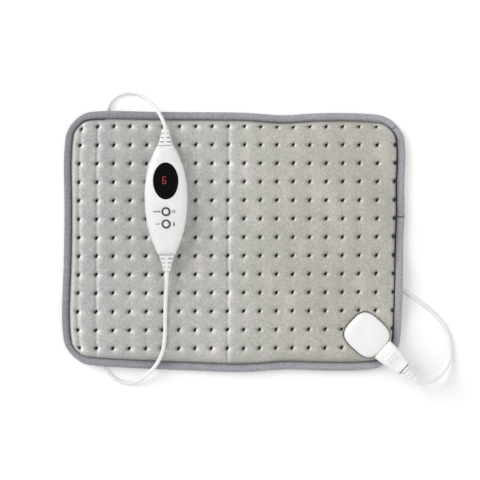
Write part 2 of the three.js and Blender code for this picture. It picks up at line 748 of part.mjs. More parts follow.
function topShell() {
  const wall = CONTROLLER_WALL;
  const outer = topShellHeights().map(([inset, z]) => controllerRing(inset, z));
  const inner = topShellHeights().map(([inset, z], k) =>
    controllerRing(inset + wall, k === 0 ? z : z - wall));
  const body = loft([...inner.reverse(), ...outer]);
  const clear = CONTROLLER_HEIGHT + CUT_OVERSHOOT;
  const pocketWidth = LENS_WIDTH + 2 * SEAT_GAP;
  const pocket = oval(pocketWidth, LENS_LENGTH + 2 * SEAT_GAP, lensUnder - SEAT_GAP, clear);
  const windowWidth = LENS_WIDTH - 2 * LENS_LEDGE;
  const window = oval(windowWidth, LENS_LENGTH - 2 * LENS_LEDGE, CONTROLLER_PARTING, clear);
  const buttonHoles = [TIMER_BUTTON_Y, HEAT_BUTTON_Y].map((y) =>
    post(0, y, RING_NECK / 2 + SEAT_GAP, CONTROLLER_PARTING, clear));
  const bossRoot = CONTROLLER_HEIGHT - 2 * wall;
  const bosses = screwPlaces().map(([x, y]) => post(x, y, BOSS_DIAMETER / 2, onBoard, bossRoot));
  const inside = keep(join([body, ...bosses]), loft(shellEnvelope()));
  const boreTop = SCREW_RECESS + SCREW_LENGTH + SEAT_GAP;
  const bores = screwPlaces().map(([x, y]) =>
    post(x, y, SCREW_DIAMETER / 2 + SEAT_GAP, onBoard - CUT_OVERSHOOT, boreTop, 10));
  return cut(inside, [pocket, window, ...buttonHoles, ...bores, ...bootOpenings()]);
}

function shellEnvelope() {
  const rows = topShellHeights();
  return [controllerRing(0, 0), ...rows.map(([inset, z]) => controllerRing(inset, z))];
}

function bottomShell() {
  const wall = CONTROLLER_WALL;
  const rim = CONTROLLER_PARTING - SEAT_GAP / 2;
  const outer = [[0, rim], [0, rim * 0.55], [0.06, rim * 0.14], [0.16, 0]]
    .map(([inset, z]) => controllerRing(inset * CONTROLLER_WIDTH / 2, z));
  const inner = [[0, rim], [0, rim * 0.6], [0.06, rim * 0.14 + wall], [0.16, wall]]
    .map(([inset, z]) => controllerRing(inset * CONTROLLER_WIDTH / 2 + wall, z));
  const posts = screwPlaces().map(([x, y]) => post(x, y, POST_DIAMETER / 2, wall / 2, POST_HEIGHT));
  const body = join([loft([...outer.reverse(), ...inner]), ...posts]);
  const recesses = screwPlaces().map(([x, y]) =>
    post(x, y, SCREW_HEAD_DIAMETER / 2 + SEAT_GAP, -CUT_OVERSHOOT, SCREW_RECESS + SEAT_GAP));
  const bores = screwPlaces().map(([x, y]) =>
    post(x, y, SCREW_DIAMETER / 2 + SEAT_GAP, 0, POST_HEIGHT + CUT_OVERSHOOT, 10));
  return cut(body, [...recesses, ...bores, ...bootOpenings()]);
}

function controllerScrew() {
  const head = SCREW_HEAD_DIAMETER / 2;
  const shank = SCREW_DIAMETER / 2;
  const low = SCREW_RECESS - SCREW_HEAD_HEIGHT;
  return turned([[0, low], [head, low], [head, SCREW_RECESS], [shank, SCREW_RECESS],
    [shank, SCREW_RECESS + SCREW_LENGTH - shank], [0, SCREW_RECESS + SCREW_LENGTH]], 10);
}

function addDisplay(group) {
  const crown = Math.max(CONTROLLER_HEIGHT - lensTopEdge, 0) + LENS_PROUD;
  const lens = loft([
    ovalRing(LENS_WIDTH, LENS_LENGTH, lensUnder),
    ovalRing(LENS_WIDTH, LENS_LENGTH, lensTopEdge),
    ovalRing(LENS_WIDTH * 0.8, LENS_LENGTH * 0.86, lensTopEdge + crown * 0.6),
    ovalRing(LENS_WIDTH * 0.4, LENS_LENGTH * 0.5, lensTopEdge + crown),
  ]);
  add(group, 'display_lens', lens, BLACK_GLOSS);
  const digitTop = lensUnder - SEAT_GAP;
  const plateUnder = digitTop - DIGIT_RELIEF - DIGIT_PLATE;
  const halfX = MODULE_WIDTH / 2;
  const halfY = MODULE_LENGTH / 2;
  const moduleTop = plateUnder - SEAT_GAP;
  const moduleCase = box([-halfX, LENS_Y - halfY, onBoard], [halfX, LENS_Y + halfY, moduleTop]);
  add(group, 'display_module', moduleCase, DARK_PLASTIC);
  add(group, 'lit_digit', digitSix(plateUnder, digitTop), LIT_RED);
}

function digitSix(low, high) {
  const x = DIGIT_WIDTH / 2;
  const y = DIGIT_LENGTH / 2;
  const stroke = DIGIT_STROKE;
  const plate = box([-x - stroke, -y - stroke, low], [x + stroke, y + stroke, low + DIGIT_PLATE]);
  const bars = [[-x, y - stroke, x, y], [-x, -stroke / 2, x, stroke / 2], [-x, -y, x, stroke - y],
    [-x, -y, stroke - x, y], [x - stroke, -y, x, 0]];
  const raised = bars.map(([left, near, right, far]) => box([left, near, low], [right, far, high]));
  return join([plate, ...raised]).translate(0, LENS_Y, 0);
}

function addButton(group, name, y) {
  const cap = BUTTON_DIAMETER / 2;
  const ringBore = cap + SLIDE_GAP;
  const ringNeck = RING_NECK / 2;
  const ringOuter = RING_DIAMETER / 2;
  const ringFoot = CONTROLLER_HEIGHT - RING_DEPTH;
  const ringSeat = CONTROLLER_HEIGHT + SEAT_GAP;
  const ringTop = ringSeat + RING_PROUD;
  const ring = turned([
    [ringBore, ringFoot],
    [ringNeck, ringFoot],
    [ringNeck, ringSeat],
    [ringOuter, ringSeat],
    [ringOuter, ringTop - RING_PROUD / 2],
    [ringOuter - RING_PROUD / 2, ringTop],
    [ringBore, ringTop],
    [ringBore, ringFoot],
  ]);
  add(group, `${name}_button_ring`, ring.translate(0, y, 0), DARK_PLASTIC);
  const plungerTop = onBoard + SWITCH_HEIGHT + PLUNGER_PROUD;
  const flangeTop = ringFoot - SEAT_GAP;
  const flangeFoot = flangeTop - BUTTON_FLANGE;
  const capTop = CONTROLLER_HEIGHT + BUTTON_PROUD;
  const stem = BUTTON_STEM / 2;
  const button = turned([
    [0, plungerTop + SEAT_GAP],
    [stem, plungerTop + SEAT_GAP],
    [stem, flangeFoot],
    [ringNeck, flangeFoot],
    [ringNeck, flangeTop],
    [cap, flangeTop],
    [cap, capTop - BUTTON_ROUND],
    [cap - BUTTON_ROUND, capTop - BUTTON_ROUND / 5],
    [0, capTop],
  ]);
  add(group, `${name}_button_cap`, button.translate(0, y, 0), WHITE_PLASTIC);
  const half = SWITCH_SIDE / 2;
  const switchTop = onBoard + SWITCH_HEIGHT;
  const plunger = PLUNGER_DIAMETER / 2;
  const bore = post(0, y, plunger + SEAT_GAP, switchTop - PLUNGER_BORE_DEPTH, switchTop + CUT_OVERSHOOT);
  const body = cut(box([-half, y - half, onBoard], [half, y + half, switchTop]), [bore]);
  add(group, `${name}_switch_body`, body, DARK_PLASTIC);
  const plungerFoot = switchTop - PLUNGER_BORE_DEPTH + PLUNGER_TRAVEL + SEAT_GAP;
  add(group, `${name}_switch_plunger`, post(0, y, plunger, plungerFoot, plungerTop), WHITE_PLASTIC);
}

function addBoard(group) {
  const plate = loft([controllerRing(BOARD_INSET, boardUnder), controllerRing(BOARD_INSET, boardTop)]);
  const holes = screwPlaces().map(([x, y]) =>
    post(x, y, SCREW_DIAMETER / 2 + SEAT_GAP, 0, CONTROLLER_HEIGHT, 10));
  add(group, 'control_board', cut(plate, holes), BOARD_GREEN);
  const terminalY = SCREW_Y - BOSS_DIAMETER / 2;
  addBlock(group, 'mains_terminal', [0, terminalY], TERMINAL_SIZE, BOARD_GREEN);
  addBlock(group, 'pad_terminal', [0, -terminalY], TERMINAL_SIZE, BOARD_GREEN);
  const sideX = MODULE_WIDTH / 2 + SIDE_PART_STANDOFF;
  const capacitorY = LENS_Y - CAPACITOR_SIZE[1] / 2;
  addBlock(group, 'film_capacitor', [-sideX, capacitorY], CAPACITOR_SIZE, BLUE_CASE);
  addBlock(group, 'triac', [-sideX, TIMER_BUTTON_Y], TRIAC_SIZE, DARK_PLASTIC);
  const fuseRadius = FUSE_DIAMETER / 2;
  const fuse = rodAlongY(sideX, onBoard + fuseRadius, fuseRadius, LENS_Y - FUSE_LENGTH, LENS_Y);
  add(group, 'fuse', fuse, GLASS_CLEAR);
}

function addBlock(group, name, [x, y], [width, length, height], look) {
  const low = [x - width / 2, y - length / 2, onBoard];
  add(group, name, box(low, [x + width / 2, y + length / 2, onBoard + height]), look);
}

function boot(end) {
  const face = CONTROLLER_LENGTH / 2 + SEAT_GAP;
  const inner = CONTROLLER_LENGTH / 2 - CONTROLLER_WALL - BOOT_COLLAR_SETBACK;
  const tip = CONTROLLER_LENGTH / 2 + BOOT_LENGTH;
  const waist = face + BOOT_LENGTH * BOOT_WAIST_AT;
  const waistWidth = BOOT_BASE_WIDTH * BOOT_WAIST;
  const body = loftAlongY([
    [face, BOOT_BASE_WIDTH, BOOT_BASE_HEIGHT],
    [waist, waistWidth, THREE.MathUtils.lerp(BOOT_BASE_HEIGHT, BOOT_TIP_HEIGHT, BOOT_WAIST_AT)],
    [tip, BOOT_TIP_WIDTH, BOOT_TIP_HEIGHT],
  ], 0, CONTROLLER_PARTING);
  const widthAt = (y) => (y < waist
    ? THREE.MathUtils.mapLinear(y, face, waist, BOOT_BASE_WIDTH, waistWidth)
    : THREE.MathUtils.mapLinear(y, waist, tip, waistWidth, BOOT_TIP_WIDTH));
  const neck = loftAlongY([
    [inner - BOOT_COLLAR / 2, BOOT_NECK_WIDTH, BOOT_NECK_HEIGHT],
    [face + BOOT_COLLAR, BOOT_NECK_WIDTH, BOOT_NECK_HEIGHT],
  ], 0, CONTROLLER_PARTING);
  const collarWidth = BOOT_NECK_WIDTH + 2 * BOOT_COLLAR_LIP;
  const collarHeight = BOOT_NECK_HEIGHT + 2 * BOOT_COLLAR_LIP;
  const collar = loftAlongY([
    [inner - BOOT_COLLAR, collarWidth, collarHeight],
    [inner, collarWidth, collarHeight],
  ], 0, CONTROLLER_PARTING);
  const slots = [];
  for (let k = 0; k < BOOT_SLOTS; k += 1) {
    const y = tip - BOOT_SLOT_FIRST - k * BOOT_SLOT_PITCH;
    for (const side of [1, -1]) {
      const near = side * BOOT_SPINE / 2;
      const far = side * (widthAt(y) / 2 - BOOT_RIM);
      slots.push(box(
        [Math.min(near, far), y - BOOT_SLOT_WIDTH / 2, CONTROLLER_PARTING - BOOT_BASE_HEIGHT],
        [Math.max(near, far), y + BOOT_SLOT_WIDTH / 2, CONTROLLER_PARTING + BOOT_BASE_HEIGHT],
      ));
    }
  }
  const upper = cut(join([body, neck, collar]), slots);
  return end > 0 ? upper : upper.rotateZ(Math.PI);
}

// Pad connector: a rounded housing clamped through the front cover, and its pull-off plug
function socketRing(inset, z, steps = 24) {
  return Array.from({ length: steps }, (_, k) => {
    const angle = 2 * Math.PI * k / steps;
    const power = 2 / SOCKET_SQUARENESS;
    const across = Math.sign(Math.cos(angle)) * Math.abs(Math.cos(angle)) ** power;
    const along = Math.sign(Math.sin(angle)) * Math.abs(Math.sin(angle)) ** power;
    return [(SOCKET_WIDTH / 2 - inset) * across, (SOCKET_LENGTH / 2 - inset) * along, z];
  });
}

function contactPlaces() {
  return Array.from({ length: CONTACT_COUNT }, (_, k) => (k - (CONTACT_COUNT - 1) / 2) * CONTACT_PITCH);
}

function buildConnector() {
  const connector = new THREE.Group();
  connector.position.set(socketPlace[0], socketPlace[1], PAD_SEAT);
  connector.rotation.z = SOCKET_HEADING - Math.PI / 2;
  addSocket(connector);
  addPlug(connector);
  return connector;
}

function addSocket(group) {
  const wall = SOCKET_WALL;
  const rim = SOCKET_PARTING - SEAT_GAP / 2;
  const baseRings = [[0, rim], [0, wall], [wall * 0.8, 0]].map(([inset, z]) => socketRing(inset, z));
  const trayRings = [[wall, rim], [wall, wall]].map(([inset, z]) => socketRing(inset, z));
  const mouthX = NOSE_WIDTH / 2 + SLIDE_GAP;
  const mouthZ = NOSE_HEIGHT / 2 + SLIDE_GAP;
  const mouthLow = [-mouthX, 0, SOCKET_PARTING - mouthZ];
  const mouth = box(mouthLow, [mouthX, SOCKET_LENGTH, SOCKET_PARTING + mouthZ]);
  const clampTop = FLAT_LEVEL + PLUSH_UNDER - SEAT_GAP - PAD_SEAT;
  const clampUnder = clampTop - WIRE_ROOM;
  const neck = post(0, 0, SOCKET_NECK / 2, clampTop + SEAT_GAP, wall / 2);
  const floorTop = wall + CUT_OVERSHOOT;
  const wireHole = post(0, 0, SOCKET_NECK / 2 - wall, clampTop, floorTop);
  const screwX = [-SOCKET_SCREW_X, SOCKET_SCREW_X];
  const screwBores = screwX.map((x) =>
    post(x, SOCKET_SCREW_Y, SCREW_DIAMETER / 2 + SEAT_GAP, 2 * clampUnder, floorTop, 10));
  const tray = join([loft([...baseRings.reverse(), ...trayRings]), neck]);
  const base = cut(tray, [mouth, wireHole, ...screwBores]);
  add(group, 'socket_base', base, WHITE_PLASTIC);
  const capFoot = SOCKET_PARTING + SEAT_GAP / 2;
  const rise = SOCKET_HEIGHT - capFoot;
  const capRows = [[0, 0], [0, 0.42], [0.08, 0.74], [0.26, 0.92], [0.6, 1]]
    .map(([inset, share]) => [inset * SOCKET_WIDTH / 2, capFoot + rise * share]);
  const capOuter = capRows.map(([inset, z]) => socketRing(inset, z));
  const capInner = capRows.map(([inset, z], k) => socketRing(inset + wall, k === 0 ? z : z - wall));
  add(group, 'socket_cap', cut(loft([...capInner.reverse(), ...capOuter]), [mouth]), WHITE_PLASTIC);
  const clamp = cut(post(0, 0, CLAMP_DIAMETER / 2, clampUnder, clampTop, 24), [
    post(0, 0, SOCKET_NECK / 2 - wall, 2 * clampUnder, 0), ...screwBores]);
  add(group, 'socket_clamp_plate', clamp, STEEL);
  screwX.forEach((x, k) => {
    const head = SCREW_HEAD_DIAMETER / 2;
    const shank = SCREW_DIAMETER / 2;
    const seat = wall + SEAT_GAP;
    const screw = turned([[0, clampUnder], [shank, clampUnder], [shank, seat], [head, seat],
      [head, seat + SCREW_HEAD_HEIGHT], [0, seat + SCREW_HEAD_HEIGHT]], 10);
    add(group, `socket_screw_${k + 1}`, screw.translate(x, SOCKET_SCREW_Y, 0), STEEL);
  });
  const blockHalf = BLOCK_WIDTH / 2;
  const blockFoot = wall + SEAT_GAP;
  const blockTop = SOCKET_HEIGHT - 2 * wall - SEAT_GAP;
  const blockBack = BLOCK_FRONT - BLOCK_LENGTH;
  const block = box([-blockHalf, blockBack, blockFoot], [blockHalf, BLOCK_FRONT, blockTop]);
  const boreRadius = PIN_DIAMETER / 2 + SEAT_GAP;
  const pinBores = contactPlaces().map((x) =>
    rodAlongY(x, SOCKET_PARTING, boreRadius, blockBack - CUT_OVERSHOOT, BLOCK_FRONT + CUT_OVERSHOOT));
  add(group, 'socket_contact_block', cut(block, pinBores), DARK_PLASTIC);
  contactPlaces().forEach((x, k) => {
    const pin = rodAlongY(x, SOCKET_PARTING, PIN_DIAMETER / 2, blockBack, blockBack + PIN_LENGTH);
    add(group, `socket_pin_${k + 1}`, pin, BRASS);
  });
}

const plugShoulder = SOCKET_LENGTH / 2 + SEAT_GAP;
const noseStart = plugShoulder - NOSE_LENGTH;
const plugEnd = plugShoulder + PLUG_LENGTH;

function addPlug(group) {
  const z = SOCKET_PARTING;
  const edge = PLUG_EDGE;
  const nose = loftAlongY([
    [noseStart, NOSE_WIDTH, NOSE_HEIGHT],
    [plugShoulder + edge, NOSE_WIDTH, NOSE_HEIGHT],
  ], 0, z);
  const body = loftAlongY([
    [plugShoulder, PLUG_WIDTH - 2 * edge, PLUG_HEIGHT - 2 * edge],
    [plugShoulder + edge, PLUG_WIDTH, PLUG_HEIGHT],
    [plugShoulder + PLUG_LENGTH * 0.35, PLUG_WIDTH * 0.97, PLUG_HEIGHT],
    [plugEnd - 2 * edge, PLUG_END_WIDTH + edge, PLUG_END_HEIGHT],
    [plugEnd, PLUG_END_WIDTH - edge, PLUG_END_HEIGHT - 2 * edge],
  ], 0, z);
  const sleeveEnd = plugShoulder - 2 * edge;
  const sleeveStart = noseStart + edge;
  const bores = contactPlaces().flatMap((x) => [
    rodAlongY(x, z, SLEEVE_DIAMETER / 2 + SEAT_GAP, sleeveStart - SEAT_GAP, sleeveEnd + SEAT_GAP),
    rodAlongY(x, z, SLEEVE_BORE / 2, noseStart - CUT_OVERSHOOT, sleeveStart + CUT_OVERSHOOT),
  ]);
  const cavity = loftAlongY([
    [plugShoulder + PLUG_WALL, PLUG_WIDTH - 2 * PLUG_WALL, PLUG_HEIGHT - 2 * PLUG_WALL],
    [plugEnd - PLUG_WALL, PLUG_END_WIDTH - 2 * PLUG_WALL, PLUG_END_HEIGHT - 2 * PLUG_WALL],
  ], 0, z);
  const whole = cut(join([nose, body]), [cavity, ...bores]);
  const reach = PLUG_WIDTH;
  const halfBox = (low, high) => box([-reach, noseStart - reach, low], [reach, plugEnd + reach, high]);
  const upper = keep(whole, halfBox(z + SEAT_GAP / 2, z + reach));
  const ribFirst = plugShoulder + PLUG_LENGTH * 0.5 - (RIB_COUNT - 1) * RIB_PITCH / 2;
  const ribTop = z + PLUG_HEIGHT / 2 + RIB_HEIGHT;
  const ribs = Array.from({ length: RIB_COUNT }, (_, k) => {
    const y = ribFirst + k * RIB_PITCH;
    const low = [-RIB_LENGTH / 2, y - RIB_WIDTH / 2, ribTop - 2 * PLUG_WALL];
    return box(low, [RIB_LENGTH / 2, y + RIB_WIDTH / 2, ribTop]);
  });
  const ribTrim = cut(join(ribs), [cavity]);
  add(group, 'plug_upper_shell', join([upper, ribTrim]), WHITE_PLASTIC);
  add(group, 'plug_lower_shell', keep(whole, halfBox(z - reach, z - SEAT_GAP / 2)), WHITE_PLASTIC);
  contactPlaces().forEach((x, k) => {
    const tube = rodAlongY(x, z, SLEEVE_DIAMETER / 2, sleeveStart, sleeveEnd);
    const boreStart = sleeveStart - CUT_OVERSHOOT;
    const bore = rodAlongY(x, z, SLEEVE_BORE / 2, boreStart, sleeveEnd + CUT_OVERSHOOT);
    add(group, `plug_contact_${k + 1}`, cut(tube, [bore]), BRASS);
  });
  const relief = ribbedRelief(RELIEF_LENGTH, RELIEF_BASE, RELIEF_TIP, RELIEF_RIBS);
  add(group, 'plug_relief', relief.translate(0, plugEnd + SEAT_GAP, z), WHITE_PLASTIC);
}

// A tapered strain relief along +Y, with necked grooves between its ribs
function ribbedRelief(length, base, tip, ribs) {
  const stations = [];
  const step = length / ribs;
  const station = (y, size) => [y, size, size * RELIEF_FLATNESS];
  for (let k = 0; k < ribs; k += 1) {
    const size = base + (tip - base) * k / (ribs - 1);
    const ribEnd = (k + RELIEF_RIB_SHARE) * step;
    stations.push(station(k * step, size), station(ribEnd, size * RELIEF_RIB_TAPER));
    if (k + 1 === ribs) break;
    stations.push(station(ribEnd, size * RELIEF_NECK), station((k + 1) * step, size * RELIEF_NECK));
  }
  stations.push(station(length, tip * RELIEF_RIB_TAPER));
  return loftAlongY(stations);
}

// Cords: hand-laid routes of the free stretches
const MAINS_LOOP = [
  [-80.9, 130.9, 27.7], [-81.3, 137.5, 27.0], [-84.5, 146.5, 23.6], [-90.8, 156.0, 17.6],
  [-97.6, 163.5, 12.2], [-106.4, 169.9, 7.4], [-114.3, 173.3, 4.4], [-121.6, 174.2, 2.9],
  [-129.8, 173.2, 2.4], [-137.7, 169.9, 2.4], [-143.7, 164.8, 2.4], [-147.6, 158.4, 2.4],
  [-148.9, 150.5, 2.4], [-149.0, 143.0, 2.4],
];
const MAINS_RUN = [
  [-149.0, 142.6, 2.4], [-147.5, 126.0, 2.4], [-139.0, 104.0, 2.4], [-120.0, 82.0, 2.4],
  [-88.0, 60.0, 2.4], [-48.0, 35.0, 2.4], [-8.0, 11.0, 2.4], [32.0, -8.0, 2.4],
  [66.0, -14.9, 2.8], [92.2, -14.83, 3.2],
];
const PAD_LOOP = [
  [-78.1, -35.9, 27.7], [-78.4, -46.0, 26.6], [-79.2, -60.0, 22.4], [-79.8, -74.0, 20.2],
  [-80.0, -92.0, 20.0], [-80.1, -108.0, 20.0], [-80.9, -118.0, 20.0], [-82.3, -127.0, 19.4],
  [-85.5, -136.4, 17.4], [-90.9, -146.0, 14.3], [-97.8, -154.6, 11.2], [-106.5, -162.2, 7.4],
  [-115.3, -166.9, 4.4], [-123.5, -168.3, 2.9], [-131.8, -166.9, 2.4], [-140.3, -162.4, 2.4],
  [-146.6, -156.2, 2.4], [-149.8, -148.5, 2.4], [-150.4, -141.0, 2.4],
];
const PAD_RUN = [
  [-150.4, -140.6, 2.4], [-148.5, -124.0, 2.4], [-139.0, -104.0, 2.4], [-118.0, -88.0, 2.4],
  [-82.0, -77.0, 2.4], [-38.0, -70.0, 2.4], [12.0, -66.0, 2.4], [62.0, -61.0, 2.4],
  [108.0, -50.0, 2.4], [142.0, -40.5, 2.4], [165.0, -39.0, 2.4], [180.0, -43.2, 2.4],
  [190.0, -49.3, 2.4],
];
const SIDE_LOOP = [
  [190.3, -49.5, 2.4], [199.8, -56.4, 2.4], [207.8, -62.9, 2.4], [218.6, -72.2, 2.4],
  [228.5, -80.9, 2.4], [239.4, -91.3, 2.4], [248.2, -103.3, 2.4], [254.4, -116.7, 2.5],
  [256.3, -129.5, 3.2], [254.3, -142.0, 5.6], [248.2, -152.4, 10.0], [240.0, -159.6, 15.6],
  [231.2, -163.8, 20.6], [222.4, -165.0, 24.0], [215.2, -162.2, 25.2],
];

function cordTube(points, steps) {
  const section = new THREE.Shape(Array.from({ length: CORD_SIDES }, (_, k) => {
    const angle = 2 * Math.PI * k / CORD_SIDES;
    const radius = CORD_DIAMETER / 2;
    return new THREE.Vector2(radius * Math.cos(angle), radius * Math.sin(angle));
  }));
  const places = points.map((point) => new THREE.Vector3(...point));
  const path = new THREE.CatmullRomCurve3(places, false, 'centripetal');
  return new THREE.ExtrudeGeometry(section, { steps, extrudePath: path, bevelEnabled: false });
}

// The coil spirals in on the table, climbs at its middle and spirals out on top
function coilRoute() {
  const [cx, cy] = COIL_PLACE;
  const half = COIL_TURNS / 2;
  const start = -Math.PI / 2;
  const points = [new THREE.Vector3(cx - COIL_LEAD_IN, cy - COIL_OUTER_RADIUS, COIL_LOWER_Z)];
  for (let k = 0; k <= COIL_TURNS * COIL_STEPS; k += 1) {
    const turn = k / COIL_STEPS;
    const radius = COIL_LEAST_RADIUS + COIL_PITCH * Math.abs(turn - half);
    const climb = THREE.MathUtils.smoothstep(turn, half - 0.25, half + 0.25);
    const angle = start + 2 * Math.PI * turn;
    const z = COIL_LOWER_Z + (COIL_UPPER_Z - COIL_LOWER_Z) * climb;
    points.push(new THREE.Vector3(cx + radius * Math.cos(angle), cy + radius * Math.sin(angle), z));
  }
  const tailY = cy + COIL_OUTER_RADIUS;
  points.push(new THREE.Vector3(cx - COIL_TAIL + CORD_DIAMETER, tailY, MAINS_PLUG_Z));
  points.push(new THREE.Vector3(cx - COIL_TAIL, tailY, MAINS_PLUG_Z));
  return points;
}

function leastSelfGap(points, diameter) {
  const neighbours = COIL_STEPS / 2;
  let least = Infinity;
  points.forEach((a, i) => {
    for (const b of points.slice(i + neighbours)) least = Math.min(least, a.distanceTo(b));
  });
  return least - diameter;
}

function buildCords() {
  const cords = new THREE.Group();
  add(cords, 'mains_lead_loop', cordTube(MAINS_LOOP, 13), WHITE_PLASTIC);
  add(cords, 'mains_lead_run', cordTube(MAINS_RUN, 17), WHITE_PLASTIC);
  add(cords, 'pad_lead_loop', cordTube(PAD_LOOP, 18), WHITE_PLASTIC);
  add(cords, 'pad_lead_run', cordTube(PAD_RUN, 18), WHITE_PLASTIC);
  add(cords, 'pad_lead_side_loop', cordTube(SIDE_LOOP, 16), WHITE_PLASTIC);
  const coil = coilRoute();
  console.log(`coil least gap to itself ${leastSelfGap(coil, CORD_DIAMETER).toFixed(2)} mm`);
  add(cords, 'mains_lead_coil', sweptTube(coil, CORD_DIAMETER / 2, COIL_SIDES), WHITE_PLASTIC);
  add(cords, 'coil_tie', coilTie(), DARK_PLASTIC);
  addMainsPlug(cords);
  return cords;
}

function coilTie() {
  const room = CORD_DIAMETER / 2 + SEAT_GAP;
  const near = COIL_LEAST_RADIUS - room;
  const far = COIL_OUTER_RADIUS + room;
  const low = COIL_LOWER_Z - room;
  const high = COIL_UPPER_Z + room;
  const thick = TIE_THICKNESS;
  const half = TIE_WIDTH / 2;
  const outside = box([near - thick, -half, low - thick], [far + thick, half, high + thick]);
  const inside = box([near, -TIE_WIDTH, low], [far, TIE_WIDTH, high]);
  return cut(outside, [inside]).translate(COIL_PLACE[0], COIL_PLACE[1], 0);
}

function addMainsPlug(group) {
  const plug = new THREE.Group();
  const tailX = COIL_PLACE[0] - COIL_TAIL;
  const tailY = COIL_PLACE[1] + COIL_OUTER_RADIUS;
  plug.position.set(tailX - SEAT_GAP, tailY, MAINS_PLUG_Z);
  plug.rotation.z = Math.PI / 2;
  const relief = ribbedRelief(MAINS_RELIEF_LENGTH, MAINS_RELIEF_BASE, MAINS_RELIEF_TIP, RELIEF_RIBS);
  relief.rotateZ(Math.PI).translate(0, MAINS_RELIEF_LENGTH, 0);
  add(plug, 'mains_plug_relief', relief, WHITE_PLASTIC);
  const back = MAINS_RELIEF_LENGTH + SEAT_GAP;
  const front = back + MAINS_PLUG_LENGTH;
  const body = loftAlongY([
    [back, MAINS_PLUG_NECK, MAINS_RELIEF_BASE],
    [back + MAINS_PLUG_LENGTH * 0.3, MAINS_PLUG_NECK + 4, MAINS_PLUG_HEIGHT],
    [front - MAINS_PLUG_LENGTH * 0.4, MAINS_PLUG_WIDTH, MAINS_PLUG_HEIGHT],
    [front - 1, MAINS_PLUG_WIDTH, MAINS_PLUG_HEIGHT],
    [front, MAINS_PLUG_WIDTH - 2, MAINS_PLUG_HEIGHT - 2],
  ]);
  add(plug, 'mains_plug_body', body, WHITE_PLASTIC);
  [-1, 1].forEach((side, k) => {
    const start = front + SEAT_GAP;
    const radius = MAINS_PIN_DIAMETER / 2;
    const pin = turned([[0, start], [radius, start], [radius, start + MAINS_PIN_LENGTH - radius],
      [0, start + MAINS_PIN_LENGTH]], 12);
    pin.rotateX(-Math.PI / 2).translate(side * MAINS_PIN_PITCH / 2, 0, 0);
    add(plug, `mains_plug_pin_${k + 1}`, pin, BRASS);
  });
  group.add(plug);
}

const heatingPad = new THREE.Group();
heatingPad.add(buildPad(), buildController(), buildConnector(), buildCords());

export default heatingPad;
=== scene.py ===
"""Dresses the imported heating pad: tufted plush, rolled binding, hand controller, connector and leads."""

import logging
import math
from collections.abc import Iterable, Sequence
from dataclasses import dataclass, field
from enum import Enum
from functools import cache

import bmesh
import bpy
from mathutils import Matrix, Vector, noise


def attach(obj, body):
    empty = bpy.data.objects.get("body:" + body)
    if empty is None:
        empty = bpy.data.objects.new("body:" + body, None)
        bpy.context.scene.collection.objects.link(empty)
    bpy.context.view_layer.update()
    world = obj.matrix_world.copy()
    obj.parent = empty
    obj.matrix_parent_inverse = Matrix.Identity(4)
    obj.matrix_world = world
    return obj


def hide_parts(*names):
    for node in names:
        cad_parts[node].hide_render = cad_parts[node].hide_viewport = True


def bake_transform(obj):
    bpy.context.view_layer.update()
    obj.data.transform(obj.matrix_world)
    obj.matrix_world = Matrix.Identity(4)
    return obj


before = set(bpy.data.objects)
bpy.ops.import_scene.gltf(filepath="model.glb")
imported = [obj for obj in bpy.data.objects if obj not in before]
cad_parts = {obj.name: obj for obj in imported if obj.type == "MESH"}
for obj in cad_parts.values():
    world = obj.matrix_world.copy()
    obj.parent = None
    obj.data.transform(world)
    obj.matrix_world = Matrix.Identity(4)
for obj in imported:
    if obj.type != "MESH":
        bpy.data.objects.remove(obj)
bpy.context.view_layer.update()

MM = 0.001
NOISE_SPAN = (0.3, 0.7)
SHARES = (0.0, 1.0)
PIT_SEED = 8
Colour = tuple[int, int, int]
Pair = tuple[float, float]
Triple = tuple[float, float, float]
Nap = tuple[tuple[str, Pair], ...]
Ring = list[Vector]
Shape = bmesh.types.BMesh
Piece = bpy.types.Object
Material = bpy.types.Material
Node = bpy.types.Node
Socket = bpy.types.NodeSocket
log = logging.getLogger("heating_pad")


class Body(Enum):
    """The moving bodies that pieces ride on."""

    PAD = "pad"
    CONTROLLER = "controller"
    TIMER = "timer_button"
    HEAT = "heat_button"
    PLUG = "connector_plug"


class Cap(Enum):
    """How the ends of a lofted tube are closed."""

    BOTH = "both"
    JOINED = "joined"


# Small sums
def linear(colour: Colour) -> tuple[float, float, float, float]:
    """Turns a screen colour of 0 to 255 into the renderer's linear colour."""
    shares = [channel / 255 for channel in colour]
    parts = [s / 12.92 if s <= 0.04045 else ((s + 0.055) / 1.055) ** 2.4 for s in shares]
    return parts[0], parts[1], parts[2], 1.0


def clamp(value: float, low: float = 0.0, high: float = 1.0) -> float:
    """Holds a value between two limits."""
    return min(max(value, low), high)


def smoothstep(value: float, low: float, high: float) -> float:
    """Rises softly from 0 at low to 1 at high."""
    share = clamp((value - low) / (high - low))
    return share * share * (3 - 2 * share)


def soft_bump(share: float) -> float:
    """A round bump: 1 at its middle, 0 from a share of 1 on."""
    return (1 - share * share) ** 2 if share < 1 else 0.0


def bell(distance: float, width: float) -> float:
    """A bell curve of the given half-width."""
    return math.exp(-(distance / width) ** 2)


